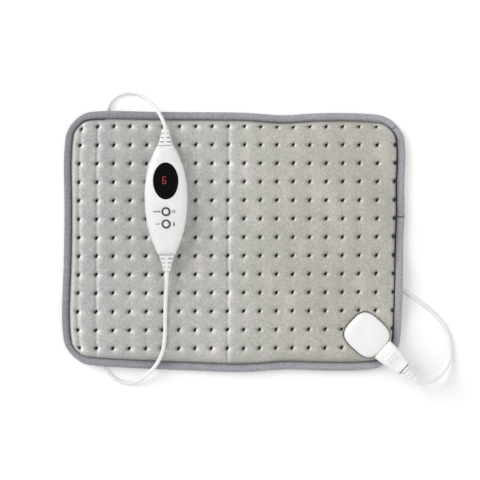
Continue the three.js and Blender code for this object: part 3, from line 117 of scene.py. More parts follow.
# Nodes
class Graph:
    """Wires the nodes of one material or node group."""

    def __init__(self, tree: bpy.types.NodeTree) -> None:
        """Keeps the tree to add to."""
        self.tree = tree

    def node(self, kind: str, inputs: dict | None = None, **settings: object) -> Node:
        """Adds a node.

        Args:
            kind: The node's type name after "ShaderNode".
            inputs: Socket name or number to a value, or to a socket to link from.
            settings: Properties of the node itself.

        Returns:
            The new node.
        """
        made = self.tree.nodes.new("ShaderNode" + kind)
        for name, value in settings.items():
            setattr(made, name, value)
        for key, value in (inputs or {}).items():
            if isinstance(value, Socket):
                self.tree.links.new(value, made.inputs[key])
            else:
                made.inputs[key].default_value = value
        return made

    def noise(self, where: object, scale: float, detail: float = 2.0) -> Socket:
        """A noise value at the given scale per metre."""
        made = self.node("TexNoise", {"Vector": where, "Scale": scale, "Detail": detail})
        return made.outputs[0]

    def attribute(self, name: str) -> Socket:
        """A value that the mesh keeps at each vertex."""
        return self.node("Attribute", attribute_name=name).outputs["Fac"]

    def spread(self, value: object, source: Pair, target: Pair) -> Socket:
        """Maps a value from one range to another."""
        inputs = {"Value": value, "From Min": source[0], "From Max": source[1],
                  "To Min": target[0], "To Max": target[1]}
        return self.node("MapRange", inputs).outputs[0]

    def strayed(self, value: object, middle: float, stray: float) -> Socket:
        """Maps a noise value to a middle value, less or more a stray."""
        return self.spread(value, NOISE_SPAN, (middle - stray, middle + stray))

    def across(self, reach: float) -> Socket:
        """Rises from 0 to 1 along X, over a reach on each side of the pad's middle."""
        where = self.node("TexCoord").outputs["Object"]
        return self.spread(self.node("SeparateXYZ", {0: where}).outputs["X"], (-reach, reach), SHARES)

    def sums(self, operation: str, first: object, second: object) -> Socket:
        """Does one sum on two values."""
        return self.node("Math", {0: first, 1: second}, operation=operation).outputs[0]

    def mix(self, factor: object, first: object, second: object,
            blend: str = "MIX") -> Socket:
        """Mixes two colours by the second one's share."""
        made = self.node("Mix", {0: factor, 6: first, 7: second}, data_type="RGBA", blend_type=blend)
        return made.outputs[2]

    def shaded(self, colour: object, shades: Iterable[object]) -> Socket:
        """Multiplies a colour by several shades."""
        for shade in shades:
            colour = self.mix(1.0, colour, shade, blend="MULTIPLY")
        return colour

    def bump(self, height: object, distance: float, strength: float = 1.0) -> Socket:
        """A bumped normal from a height in shares of the given distance."""
        inputs = {"Height": height, "Distance": distance, "Strength": strength}
        return self.node("Bump", inputs).outputs[0]


@cache
def node_group(name: str, inputs: tuple[str, ...], outputs: tuple[str, ...]) -> tuple:
    """Starts a shader node group with named value sockets.

    Args:
        name: The group's name.
        inputs: Names of its float inputs.
        outputs: Names of its float outputs.

    Returns:
        The group, its graph, its input node and its output node.
    """
    tree = bpy.data.node_groups.new(name, "ShaderNodeTree")
    for label in inputs:
        tree.interface.new_socket(label, in_out="INPUT", socket_type="NodeSocketFloat")
    for label in outputs:
        tree.interface.new_socket(label, in_out="OUTPUT", socket_type="NodeSocketFloat")
    source = tree.nodes.new("NodeGroupInput")
    sink = tree.nodes.new("NodeGroupOutput")
    return tree, Graph(tree), source, sink


@cache
def grain_group() -> bpy.types.NodeTree:
    """Cloudy and fine grain of a moulded or drawn surface, on Object coordinates.

    Returns:
        The group, with Scale in and Cloud and Fine out.
    """
    tree, graph, source, sink = node_group("Surface grain", ("Scale",), ("Cloud", "Fine"))
    where = graph.node("TexCoord").outputs["Object"]
    fine = graph.noise(where, 1.0, 3.0)
    tree.links.new(source.outputs["Scale"], fine.node.inputs["Scale"])
    cloud_scale = 60.0
    cloud = graph.noise(where, cloud_scale)
    tree.links.new(cloud, sink.inputs["Cloud"])
    tree.links.new(fine, sink.inputs["Fine"])
    return tree


@cache
def nap_group() -> bpy.types.NodeTree:
    """Brushed nap of a cloth: patches where it lies another way, tufts of fibre and single fibres.

    Returns:
        The group, with Fibre Scale in and Patch, Tuft and Fibre out.
    """
    tree, graph, source, sink = node_group("Brushed nap", ("Fibre Scale",), ("Patch", "Tuft", "Fibre"))
    where = graph.node("TexCoord").outputs["Object"]
    turn, stretch, patch_scale, tuft_scale = (0.0, 0.0, 0.6), (1.0, 0.4, 1.0), 48.0, 330.0
    swirl = graph.node("Mapping", {"Vector": where, "Rotation": turn, "Scale": stretch}).outputs[0]
    patch = graph.noise(swirl, patch_scale, 3.0)
    tuft = graph.noise(where, tuft_scale)
    fibre = graph.noise(swirl, 1.0, 3.0)
    tree.links.new(source.outputs["Fibre Scale"], fibre.node.inputs["Scale"])
    for label, socket in (("Patch", patch), ("Tuft", tuft), ("Fibre", fibre)):
        tree.links.new(socket, sink.inputs[label])
    return tree


def use_group(graph: Graph, tree: bpy.types.NodeTree, **values: float) -> Node:
    """Places a node group in a material with its own values."""
    made = graph.tree.nodes.new("ShaderNodeGroup")
    made.node_tree = tree
    for label, value in values.items():
        made.inputs[label.replace("_", " ")].default_value = value
    return made


def new_material(name: str) -> tuple[Material, Graph, Node]:
    """Starts a material, with its graph and its Principled shader."""
    made = bpy.data.materials.new(name)
    made.use_nodes = True
    return made, Graph(made.node_tree), made.node_tree.nodes["Principled BSDF"]


def wire(graph: Graph, shader: Node, **values: object) -> None:
    """Sets or links a shader's sockets by name, with underscores for spaces."""
    for label, value in values.items():
        socket = shader.inputs[label.replace("_", " ")]
        if isinstance(value, Socket):
            graph.tree.links.new(value, socket)
        else:
            socket.default_value = value


# Finishes
def dimmed(colour: tuple[float, ...], share: float) -> tuple[float, ...]:
    """A linear colour at a share of its brightness."""
    return tuple(part * share for part in colour[:3]) + (1.0,)


@dataclass(frozen=True)
class Finish:
    """What every finish has."""

    name: str  # The material's name
    colour: Colour  # Its colour on screen


@dataclass(frozen=True)
class MouldedPlastic(Finish):
    """A moulded plastic with a fine spark-eroded grain."""

    roughness: float = 0.38
    grain: float = 2600.0  # The grain's scale per metre
    depth: float = 0.00004  # The grain's depth in metres
    dull: float = 0.955  # Brightness of its duller clouds
    stray: float = 0.05  # How far the roughness strays

    def material(self) -> Material:
        """Builds the material."""
        made, graph, shader = new_material(self.name)
        grain = use_group(graph, grain_group(), Scale=self.grain).outputs
        base = linear(self.colour)
        cloud = graph.spread(grain["Cloud"], NOISE_SPAN, SHARES)
        wire(graph, shader, Base_Color=graph.mix(cloud, base, dimmed(base, self.dull)),
             Roughness=graph.strayed(grain["Fine"], self.roughness, self.stray),
             Normal=graph.bump(grain["Fine"], self.depth))
        return made


@dataclass(frozen=True)
class BareMetal(Finish):
    """A drawn or turned metal."""

    roughness: float = 0.3
    grain: float = 1800.0  # The grain's scale per metre
    stray: float = 0.08  # How far the roughness strays

    def material(self) -> Material:
        """Builds the material."""
        made, graph, shader = new_material(self.name)
        grain = use_group(graph, grain_group(), Scale=self.grain).outputs
        wire(graph, shader, Base_Color=linear(self.colour), Metallic=1.0,
             Roughness=graph.strayed(grain["Fine"], self.roughness, self.stray))
        return made


@dataclass(frozen=True)
class GlossLens(Finish):
    """The smoked, polished window of the display."""

    polish: Pair = (0.05, 0.11)  # Its least and most roughness
    specular: float = 0.06

    def material(self) -> Material:
        """Builds the material."""
        made, graph, shader = new_material(self.name)
        cloud = use_group(graph, grain_group()).outputs["Cloud"]
        wire(graph, shader, Base_Color=linear(self.colour), Specular_IOR_Level=self.specular,
             Roughness=graph.spread(cloud, NOISE_SPAN, self.polish))
        return made


@dataclass(frozen=True)
class LitSegment(Finish):
    """A glowing segment of the digit."""

    glow: float = 0.5  # Strength of the glow
    dim: float = 0.75  # Brightness of the dim colour that clouds it
    clouds: Pair = (0.0, 0.25)  # Least and most share of that dim colour
    unlit: tuple[float, ...] = (0.05, 0.0, 0.0, 1.0)  # Its linear colour under the glow
    roughness: float = 0.4

    def material(self) -> Material:
        """Builds the material."""
        made, graph, shader = new_material(self.name)
        cloud = use_group(graph, grain_group()).outputs["Cloud"]
        hot = linear(self.colour)
        glow = graph.mix(graph.spread(cloud, NOISE_SPAN, self.clouds), hot, dimmed(hot, self.dim))
        wire(graph, shader, Base_Color=self.unlit, Emission_Color=glow, Emission_Strength=self.glow,
             Roughness=self.roughness)
        return made


@dataclass(frozen=True)
class Cloth(Finish):
    """What every cloth has: a colour that turns across the pad, a nap and a sheen."""

    right: Colour | None = None  # Its colour towards the right, if that is another
    reach: float = 0.18  # Half the width over which the colour turns, in metres
    fibres: float = 2400.0  # Scale of the nap's fibres per metre
    # Darkest and lightest share of the colour by each part of the nap
    uneven: Nap = (("Patch", (0.94, 1.06)), ("Tuft", (0.86, 1.14)), ("Fibre", (0.84, 1.16)))
    relief: Pair = (0.00012, 0.7)  # Depth of the nap in metres, and its strength
    sheen: Pair = (0.3, 0.4)  # Weight and roughness of the sheen
    roughness: float = 0.9
    specular: float = 0.2

    def colour_across(self, graph: Graph) -> Socket:
        """The colour as it turns from left to right."""
        return graph.mix(graph.across(self.reach), linear(self.colour), linear(self.right or self.colour))

    def shades(self, graph: Graph, nap: Node) -> list[Socket]:
        """The shades that the parts of the nap give the colour."""
        return [graph.spread(nap.outputs[label], NOISE_SPAN, span) for label, span in self.uneven]

    def finish(self, graph: Graph, shader: Node, colour: object, rise: object) -> None:
        """Wires the colour, the rise of the nap and the sheen to the shader."""
        weight, spread = self.sheen
        wire(graph, shader, Base_Color=colour, Roughness=self.roughness, Specular_IOR_Level=self.specular,
             Normal=graph.bump(rise, *self.relief), Sheen_Weight=weight, Sheen_Roughness=spread)


@dataclass(frozen=True)
class Plush(Cloth):
    """The short-pile velour of the front cover."""

    reach: float = 0.15
    fibres: float = 1100.0
    uneven: Nap = (("Patch", (0.94, 1.05)), ("Tuft", (0.92, 1.08)), ("Fibre", (0.80, 1.19)))
    relief: Pair = (0.00016, 0.8)
    sheen: Pair = (0.25, 0.45)
    roughness: float = 0.92
    specular: float = 0.15
    rosy: Colour = (190, 184, 182)  # The colour that patches of the pile turn to
    rosy_patch: Pair = (0.52, 0.72)  # Range of the patches over which they turn to it
    rosy_most: float = 0.4  # The most of it that they take
    pit: Colour = (8, 8, 9)  # Painted shade down in a tuft's pit, in the groove by the binding and round the socket
    painted_light_span: Pair = (-1.0, 2.0)  # Least and most painted shade and painted light on the pile
    painted_light: Pair = (0.70, 2.14)  # Darkest and lightest share of the colour by the painted shade and painted light
    clumps: float = 1.4  # Rise of the pile's clumps against its fibres

    def material(self) -> Material:
        """Builds the material."""
        made, graph, shader = new_material(self.name)
        nap = use_group(graph, nap_group(), Fibre_Scale=self.fibres)
        rosy = graph.spread(nap.outputs["Patch"], self.rosy_patch, (0.0, self.rosy_most))
        pile = graph.mix(rosy, self.colour_across(graph), linear(self.rosy))
        # Painted light and painted shade on the pile, from the mesh's attribute
        painted_light = graph.spread(graph.attribute("painted_light"), self.painted_light_span, self.painted_light)
        pile = graph.shaded(pile, [*self.shades(graph, nap), painted_light])
        clumps = graph.sums("MULTIPLY", nap.outputs["Tuft"], self.clumps)
        rise = graph.sums("ADD", nap.outputs["Fibre"], clumps)
        # Painted shade in the pits, the groove and round the socket darkens the pile
        self.finish(graph, shader, graph.mix(graph.attribute("pit"), pile, linear(self.pit)), rise)
        return made


@dataclass(frozen=True)
class WovenTape(Cloth):
    """A soft woven tape, cloth or thread whose weave follows the piece."""

    thread: float = 0.0009  # Width of one thread in metres
    weave: Pair = (0.94, 1.05)  # Darkest and lightest share of the colour by the weave

    def material(self) -> Material:
        """Builds the material."""
        made, graph, shader = new_material(self.name)
        nap = use_group(graph, nap_group(), Fibre_Scale=self.fibres)
        waves = []
        for name in ("along", "around"):
            turn = graph.sums("MULTIPLY", graph.attribute(name), math.tau / self.thread)
            waves.append(graph.sums("SINE", turn, 0.0))
        weave = graph.sums("MULTIPLY", *waves)
        shade = graph.spread(weave, (-1.0, 1.0), self.weave)
        colour = graph.shaded(self.colour_across(graph), [shade, *self.shades(graph, nap)])
        self.finish(graph, shader, colour, graph.sums("ADD", weave, nap.outputs["Fibre"]))
        return made


@cache
def material_of(finish: Finish) -> Material:
    """The one material of a finish, built the first time it is asked for."""
    return finish.material()


# The plush turns a little darker and warmer towards the right
PLUSH = Plush("plush", (174, 174, 172), (171, 169, 159))
BACK_CLOTH = WovenTape("back_cloth", (176, 175, 172), thread=0.0012)
# Painted light: the binding turns lighter towards the right
BINDING = WovenTape("binding", (151, 152, 158), (171, 170, 178))
STITCH = WovenTape("stitch_thread", (138, 140, 146), thread=0.0005)
# Painted shade of the binding's joint
JOINT_SHADE_THREAD = WovenTape("joint_shade_thread", (46, 46, 52), thread=0.0005)
CASE_WHITE = MouldedPlastic("controller_white", (236, 236, 236))
LENS_BLACK = GlossLens("lens_black", (5, 5, 6))
DIGIT_RED = LitSegment("lit_red", (205, 62, 72))
RING_GREY = MouldedPlastic("button_ring", (60, 61, 63), 0.5)
BUTTON_WHITE = MouldedPlastic("button_white", (236, 236, 236), 0.42)
MARK_GREY = MouldedPlastic("printed_mark", (44, 45, 48), 0.5)
BOOT_WHITE = MouldedPlastic("boot_white", (238, 238, 238), 0.5)
SOCKET_WHITE = MouldedPlastic("socket_white", (243, 243, 242), 0.4)
PLUG_WHITE = MouldedPlastic("plug_white", (249, 250, 248), 0.42)
CORD_WHITE = MouldedPlastic("cord_white", (240, 240, 239), 0.45, 3200.0)
FELT = MouldedPlastic("felt", (216, 210, 196), 0.95, 900.0, 0.0004)
WIRE_RED = MouldedPlastic("heating_wire", (168, 88, 76), 0.6)
DARK_PLASTIC = MouldedPlastic("dark_plastic", (60, 61, 64), 0.5)
BOARD_GREEN = MouldedPlastic("board", (47, 107, 69), 0.5)
CAPACITOR_BLUE = MouldedPlastic("capacitor", (63, 111, 156), 0.45)
FUSE_GLASS = MouldedPlastic("fuse_glass", (214, 224, 220), 0.15)
STEEL = BareMetal("steel", (184, 188, 192))
BRASS = BareMetal("contact_brass", (201, 168, 96))


# Mesh making
def lofted(rings: Sequence[Ring], cap: Cap = Cap.BOTH) -> Shape:
    """Grows a closed tube by extruding a circle's edges from ring to ring.

    Each vertex keeps its distance along the tube and around it, in metres, for woven finishes.

    Args:
        rings: The tube's rings, all with the same count of points.
        cap: Whether the two ends are closed by faces or joined to each other.

    Returns:
        The tube, with its faces outwards.
    """
    bm = bmesh.new()
    along = bm.verts.layers.float.new("along")
    around = bm.verts.layers.float.new("around")
    bmesh.ops.create_circle(bm, cap_ends=False, segments=len(rings[0]), radius=1.0)
    loop = list(bm.verts)
    edges = list(bm.edges)
    first_edges = list(edges)
    travelled = 0.0
    for level, ring in enumerate(rings):
        if level:
            grown = bmesh.ops.extrude_edge_only(bm, edges=edges)["geom"]
            fresh = {part for part in grown if isinstance(part, bmesh.types.BMVert)}
            loop = [next(e.other_vert(v) for e in v.link_edges if e.other_vert(v) in fresh) for v in loop]
            edges = [part for part in grown
                     if isinstance(part, bmesh.types.BMEdge) and fresh.issuperset(part.verts)]
            travelled += (ring[0] - rings[level - 1][0]).length
        girth = 0.0
        for k, (vert, place) in enumerate(zip(loop, ring)):
            girth += (place - ring[k - 1]).length if k else 0.0
            vert.co = place
            vert[along] = travelled
            vert[around] = girth
    if cap is Cap.JOINED:
        bmesh.ops.bridge_loops(bm, edges=first_edges + edges)
    else:
        bmesh.ops.edgeloop_fill(bm, edges=first_edges)
        bmesh.ops.edgeloop_fill(bm, edges=edges)
    bmesh.ops.recalc_face_normals(bm, faces=bm.faces)
    return bm


def spun(profile: Sequence[Pair], centre: Vector, steps: int = 40) -> Shape:
    """Spins a profile about an upright axis.

    Args:
        profile: Radius and height of each point, from the axis round to the axis or to its start.
        centre: A point on the axis.
        steps: Count of steps round the turn.

    Returns:
        The turned shape, with its faces outwards.
    """
    bm = bmesh.new()
    verts = [bm.verts.new(centre + Vector((radius, 0.0, height))) for radius, height in profile]
    edges = [bm.edges.new(pair) for pair in zip(verts, verts[1:])]
    if profile[0][0] > 0:
        edges.append(bm.edges.new((verts[-1], verts[0])))
    bmesh.ops.spin(bm, geom=verts + edges, cent=centre, axis=(0, 0, 1), angle=math.tau, steps=steps,
                   use_merge=True)
    bmesh.ops.remove_doubles(bm, verts=bm.verts, dist=1e-7)
    bmesh.ops.recalc_face_normals(bm, faces=bm.faces)
    return bm


def block(low: Vector, high: Vector, round_by: float = 0.0) -> Shape:
    """A box between two corners, with its edges rounded.

    Args:
        low: Its lowest corner.
        high: Its highest corner.
        round_by: Width of the rounding.

    Returns:
        The box.
    """
    bm = bmesh.new()
    bmesh.ops.create_cube(bm, size=1.0)
    bmesh.ops.scale(bm, vec=high - low, verts=bm.verts)
    bmesh.ops.translate(bm, vec=(low + high) / 2, verts=bm.verts)
    if round_by:
        bmesh.ops.bevel(bm, geom=bm.edges[:], offset=round_by, offset_type="OFFSET", affect="EDGES",
                        segments=3, profile=0.5, material=-1)
    return bm


def merged(parts: Iterable[Shape]) -> Shape:
    """Puts several shapes in one, and frees them."""
    whole = bmesh.new()
    for part in parts:
        mesh = bpy.data.meshes.new("part")
        part.to_mesh(mesh)
        part.free()
        whole.from_mesh(mesh)
        bpy.data.meshes.remove(mesh)
    return whole


def to_object(name: str, bm: Shape) -> Piece:
    """Turns a bmesh into an object at the origin, and frees it."""
    mesh = bpy.data.meshes.new(name)
    bm.to_mesh(mesh)
    bm.free()
    made = bpy.data.objects.new(name, mesh)
    bpy.context.scene.collection.objects.link(made)
    return made


def carved(body: Shape, tools: Iterable[Shape]) -> Shape:
    """Cuts tools out of a body.

    Args:
        body: The body, which is freed.
        tools: The closed shapes to take away, which are freed.

    Returns:
        The body with the cuts.
    """
    blank = to_object("blank", body)
    cutters = [to_object("cutter", tool) for tool in tools]
    for cutter in cutters:
        cut = blank.modifiers.new("cut", "BOOLEAN")
        cut.operation = "DIFFERENCE"
        cut.solver = "EXACT"
        cut.object = cutter
    result = bmesh.new()
    result.from_object(blank, bpy.context.evaluated_depsgraph_get())
    for made in [blank, *cutters]:
        bpy.data.meshes.remove(made.data)
    return result


def piece(name: str, bm: Shape, finish: Finish, body: Body | None, *nodes: str,
          sharp: float = 40.0, slot: str | None = None) -> Piece:
    """Makes a finished piece of the object.

    Args:
        name: The piece's name.
        bm: Its shape, which is freed.
        finish: Its finish.
        body: The body that it rides on, or None where it rides on none.
        nodes: The CAD nodes that it stands for.
        sharp: Edges that turn by more than this many degrees stay sharp.
        slot: Not used.

    Returns:
        The piece.
    """
    made = to_object(name, bm)
    made.data.polygons.foreach_set("use_smooth", [True] * len(made.data.polygons))
    made.data.set_sharp_from_angle(angle=math.radians(sharp))
    made.data.materials.append(material_of(finish))
    if nodes:
        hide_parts(*nodes)
    if body:
        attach(made, body.value)
    log.info("%s: %d faces", name, len(made.data.polygons))
    return made


def dressed(finish: Finish, *names: str) -> list[Piece]:
    """Gives CAD nodes that stay shown their finish.

    Args:
        finish: The finish.
        names: The nodes' names.

    Returns:
        The nodes.
    """
    nodes = [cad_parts[name] for name in names]
    for node in nodes:
        node.data.materials.clear()
        node.data.materials.append(material_of(finish))
    return nodes


# How the pad lies
@dataclass(frozen=True)
class PadLay:
    """The pad's outline, its tufts and its lift over the leads put away under it, in metres."""

    length: float = 0.400
    width: float = 0.304
    corner: float = 0.030
    columns: int = 20  # Tufts along X
    rows: int = 13  # Tufts along Y
    margin: Pair = (0.016, 0.0215)  # Distance of the outer tufts from the edges, before the offset
    offset: Pair = (0.0024, 0.0044)  # How far the field of tufts sits off centre
    binding: Pair = (0.009, 0.009)  # Width and height of the binding
    shoulder: float = 0.0094  # Inset at which the plush comes out of the binding
    flange: float = 0.0029  # Inset of the cloth's edge inside the binding
    crown_run: float = 0.014  # Distance over which the plush rises
    flange_rise: Pair = (0.00015, 0.00135)  # Under and upper side of the flange above the middle plane
    plush_rise: Pair = (0.00425, 0.0106)  # Under and upper side of the plush above the middle plane
    plateau: float = 0.0025  # Lift of the pad's middle plane
    lift_run: float = 0.0055  # Distance over which the plateau rises
    # Place, radius and height of the rise over the coiled lead
    hump: tuple[float, float, float, float] = (0.072, 0.036, 0.125, 0.016)
    # Places where a lead passes under the edge
    crossings: tuple[Pair, ...] = ((-0.1483, 0.152), (-0.1494, -0.152), (0.2, -0.0566))
    crossing: Pair = (0.060, 0.0054)  # Radius and height of the rise there
    lean: float = 0.0075  # How far the side edges lean for each metre across
    # Corners that are pressed in, by their sides along X and Y, and how far
    tucks: tuple[tuple[int, int, float], ...] = (
        (1, -1, 0.0057), (-1, -1, 0.0049), (1, 1, 0.0041), (-1, 1, 0.0030))
    tuck_radius: float = 0.035  # Radius over which a corner is pressed in
    # Waves of the long edges: side along Y, place along X, half-width and shift
    waves: tuple[tuple[int, float, float, float], ...] = (
        (1, 0.057, 0.032, -0.0030), (1, -0.160, 0.050, 0.0010), (-1, -0.155, 0.055, 0.0032),
        (-1, 0.005, 0.050, -0.0022), (-1, 0.062, 0.030, 0.0019))
    # Waves of the short edges: side along X, place along Y, half-width and shift
    side_waves: tuple[tuple[int, float, float, float], ...] = (
        (-1, 0.100, 0.045, -0.0018), (-1, -0.088, 0.045, -0.0017), (1, 0.112, 0.035, 0.0018),
        (1, 0.034, 0.020, 0.0011), (1, -0.088, 0.045, -0.0007))
    # How far the tufted field is drawn to its middle, its rise for each metre along X, and its rise
    drift: Triple = (0.0012, 0.0102, 0.0005)
    # How far the plush bulges out on the left, the bulge's place from the shoulder and its half-width
    overhang: Triple = (0.0012, 0.0012, 0.0022)
    # Power of the plush's rise from the edge on the left and on the right; less is fuller
    fullness: Pair = (0.62, 1.15)
    steady: float = 0.75  # Share of an edge's shift along Y that the rows of tufts don't follow
    # Distances from the middle at which the pad's left and right ends start and are whole
    end_reach: Pair = (0.165, 0.180)

    def pitch(self) -> Pair:
        """Distance from tuft to tuft along X and along Y."""
        return ((self.length - 2 * self.margin[0]) / (self.columns - 1),
                (self.width - 2 * self.margin[1]) / (self.rows - 1))

    def tufts(self) -> tuple[list[float], list[float]]:
        """Places of the tuft columns along X and of the rows along Y."""
        step_x, step_y = self.pitch()
        first_x = -self.length / 2 + self.margin[0] + self.offset[0]
        first_y = -self.width / 2 + self.margin[1] + self.offset[1]
        return ([first_x + i * step_x for i in range(self.columns)],
                [first_y + j * step_y for j in range(self.rows)])

    def edge_distance(self, x: float, y: float) -> float:
        """Distance in from the pad's outline."""
        qx = abs(x) - (self.length / 2 - self.corner)
        qy = abs(y) - (self.width / 2 - self.corner)
        return self.corner - math.hypot(max(qx, 0), max(qy, 0)) - min(max(qx, qy), 0)

    def level(self, x: float, y: float) -> float:
        """Height of the pad's middle plane above the table."""
        inward = smoothstep(self.edge_distance(x, y), self.shoulder, self.shoulder + self.lift_run)
        hump_x, hump_y, radius, height = self.hump
        rise = self.plateau + height * soft_bump(math.hypot(x - hump_x, y - hump_y) / radius)
        bumps = (soft_bump(math.hypot(x - cx, y - cy) / self.crossing[0]) for cx, cy in self.crossings)
        return self.binding[1] / 2 + inward * rise + (1 - inward) * self.crossing[1] * max(bumps)

    def rounded(self, x: float, y: float) -> Pair:
        """Turns a point of the square-cornered field into the round-cornered pad."""
        core_x = self.length / 2 - self.corner
        core_y = self.width / 2 - self.corner
        u, v = abs(x) - core_x, abs(y) - core_y
        if u <= 0 or v <= 0:
            return x, y
        reach = max(u, v)
        turn = math.pi / 4 * min(u, v) / reach
        angle = turn if u >= v else math.pi / 2 - turn
        px, py = core_x + reach * math.cos(angle), core_y + reach * math.sin(angle)
        return math.copysign(px, x), math.copysign(py, y)

    def crown(self, depth: float, x: float) -> float:
        """Height of the plush above the middle plane at a distance in from the edge: fuller on the left."""
        share = clamp((depth - self.shoulder) / self.crown_run)
        low, high = self.flange_rise[1], self.plush_rise[1]
        full, flat = self.fullness
        power = full + (flat - full) * smoothstep(x, 0.0, self.length / 2)
        return low + (high - low) * math.sin(share * math.pi / 2) ** power

    def laid(self, x: float, y: float) -> Pair:
        """Where a point comes to lie with the loose sides, the pressed corners and the waves of the edges.

        Args:
            x, y: The place.

        Returns:
            The place along X and along Y.
        """
        half_x, half_y = self.length / 2, self.width / 2
        lean_from, lean_whole, wave_from, wave_whole = 0.05, 0.012, 0.045, 0.010
        px, py = x + self.lean * y * smoothstep(abs(x), half_x - lean_from, half_x - lean_whole), y
        loose = 1 - self.steady * smoothstep(self.edge_distance(x, y), self.shoulder, 2 * self.shoulder)
        for side_x, side_y, amount in self.tucks:
            tuck = amount * bell(math.hypot(x - side_x * half_x, y - side_y * half_y), self.tuck_radius)
            px, py = px - side_x * tuck, py - side_y * tuck * loose
        for side, place, width, shift in self.waves:
            near = smoothstep(side * y, half_y - wave_from, half_y - wave_whole)
            py += loose * shift * bell(x - place, width) * near
        for side, place, width, shift in self.side_waves:
            near = smoothstep(side * x, half_x - wave_from, half_x - wave_whole)
            px += shift * bell(y - place, width) * near
        return px, py

    def drawn(self, x: float, y: float, depth: float) -> Pair:
        """Where the plush comes to lie: drawn along its field and bulging on the left.

        Args:
            x, y: The place.
            depth: Distance in from the edge.

        Returns:
            The place along X and along Y.
        """
        inner_run, last_reach, slack = 0.010, (0.168, 0.186), 0.0011
        inner = smoothstep(depth, self.shoulder, self.shoulder + inner_run)
        amount, place, width = self.overhang
        bulge = amount * bell(depth - self.shoulder - place, width) * smoothstep(-x, 0.0, self.length / 2)
        least, more, below = 0.0011, 0.0007, 0.06
        along = (least + more * smoothstep(-y, 0.0, below)) * smoothstep(x, *last_reach)
        amount, place, width = 0.0012, 0.03, 0.06
        along -= amount * bell(y - place, width) * smoothstep(-x, *self.end_reach)
        along -= self.drift[0] * math.sin(math.tau * x / self.length)
        up = self.drift[1] * x + self.drift[2]
        up -= slack * smoothstep(x, -0.02, 0.10) * smoothstep(y, -0.08, 0.12)
        px, py = self.laid(x, y)
        return px + inner * along - bulge, py + inner * up


# Covers of the pad
@dataclass(frozen=True)
class Spot:
    """A soft spot beside a tuft's pit, in metres, that paints light or shade on the pile; the crescent and
    the puff also lift it.
    """

    x: float  # Its place along X from the pit
    y: float  # Its place along Y from the pit
    wide: float  # Its half-width
    tall: float  # Its half-height
    light: float  # How much painted light it gives the pile; below nothing it gives painted shade

    def at(self, dx: float, dy: float) -> float:
        """The spot's share at a distance from the pit."""
        return bell(dx - self.x, self.wide) * bell(dy - self.y, self.tall)


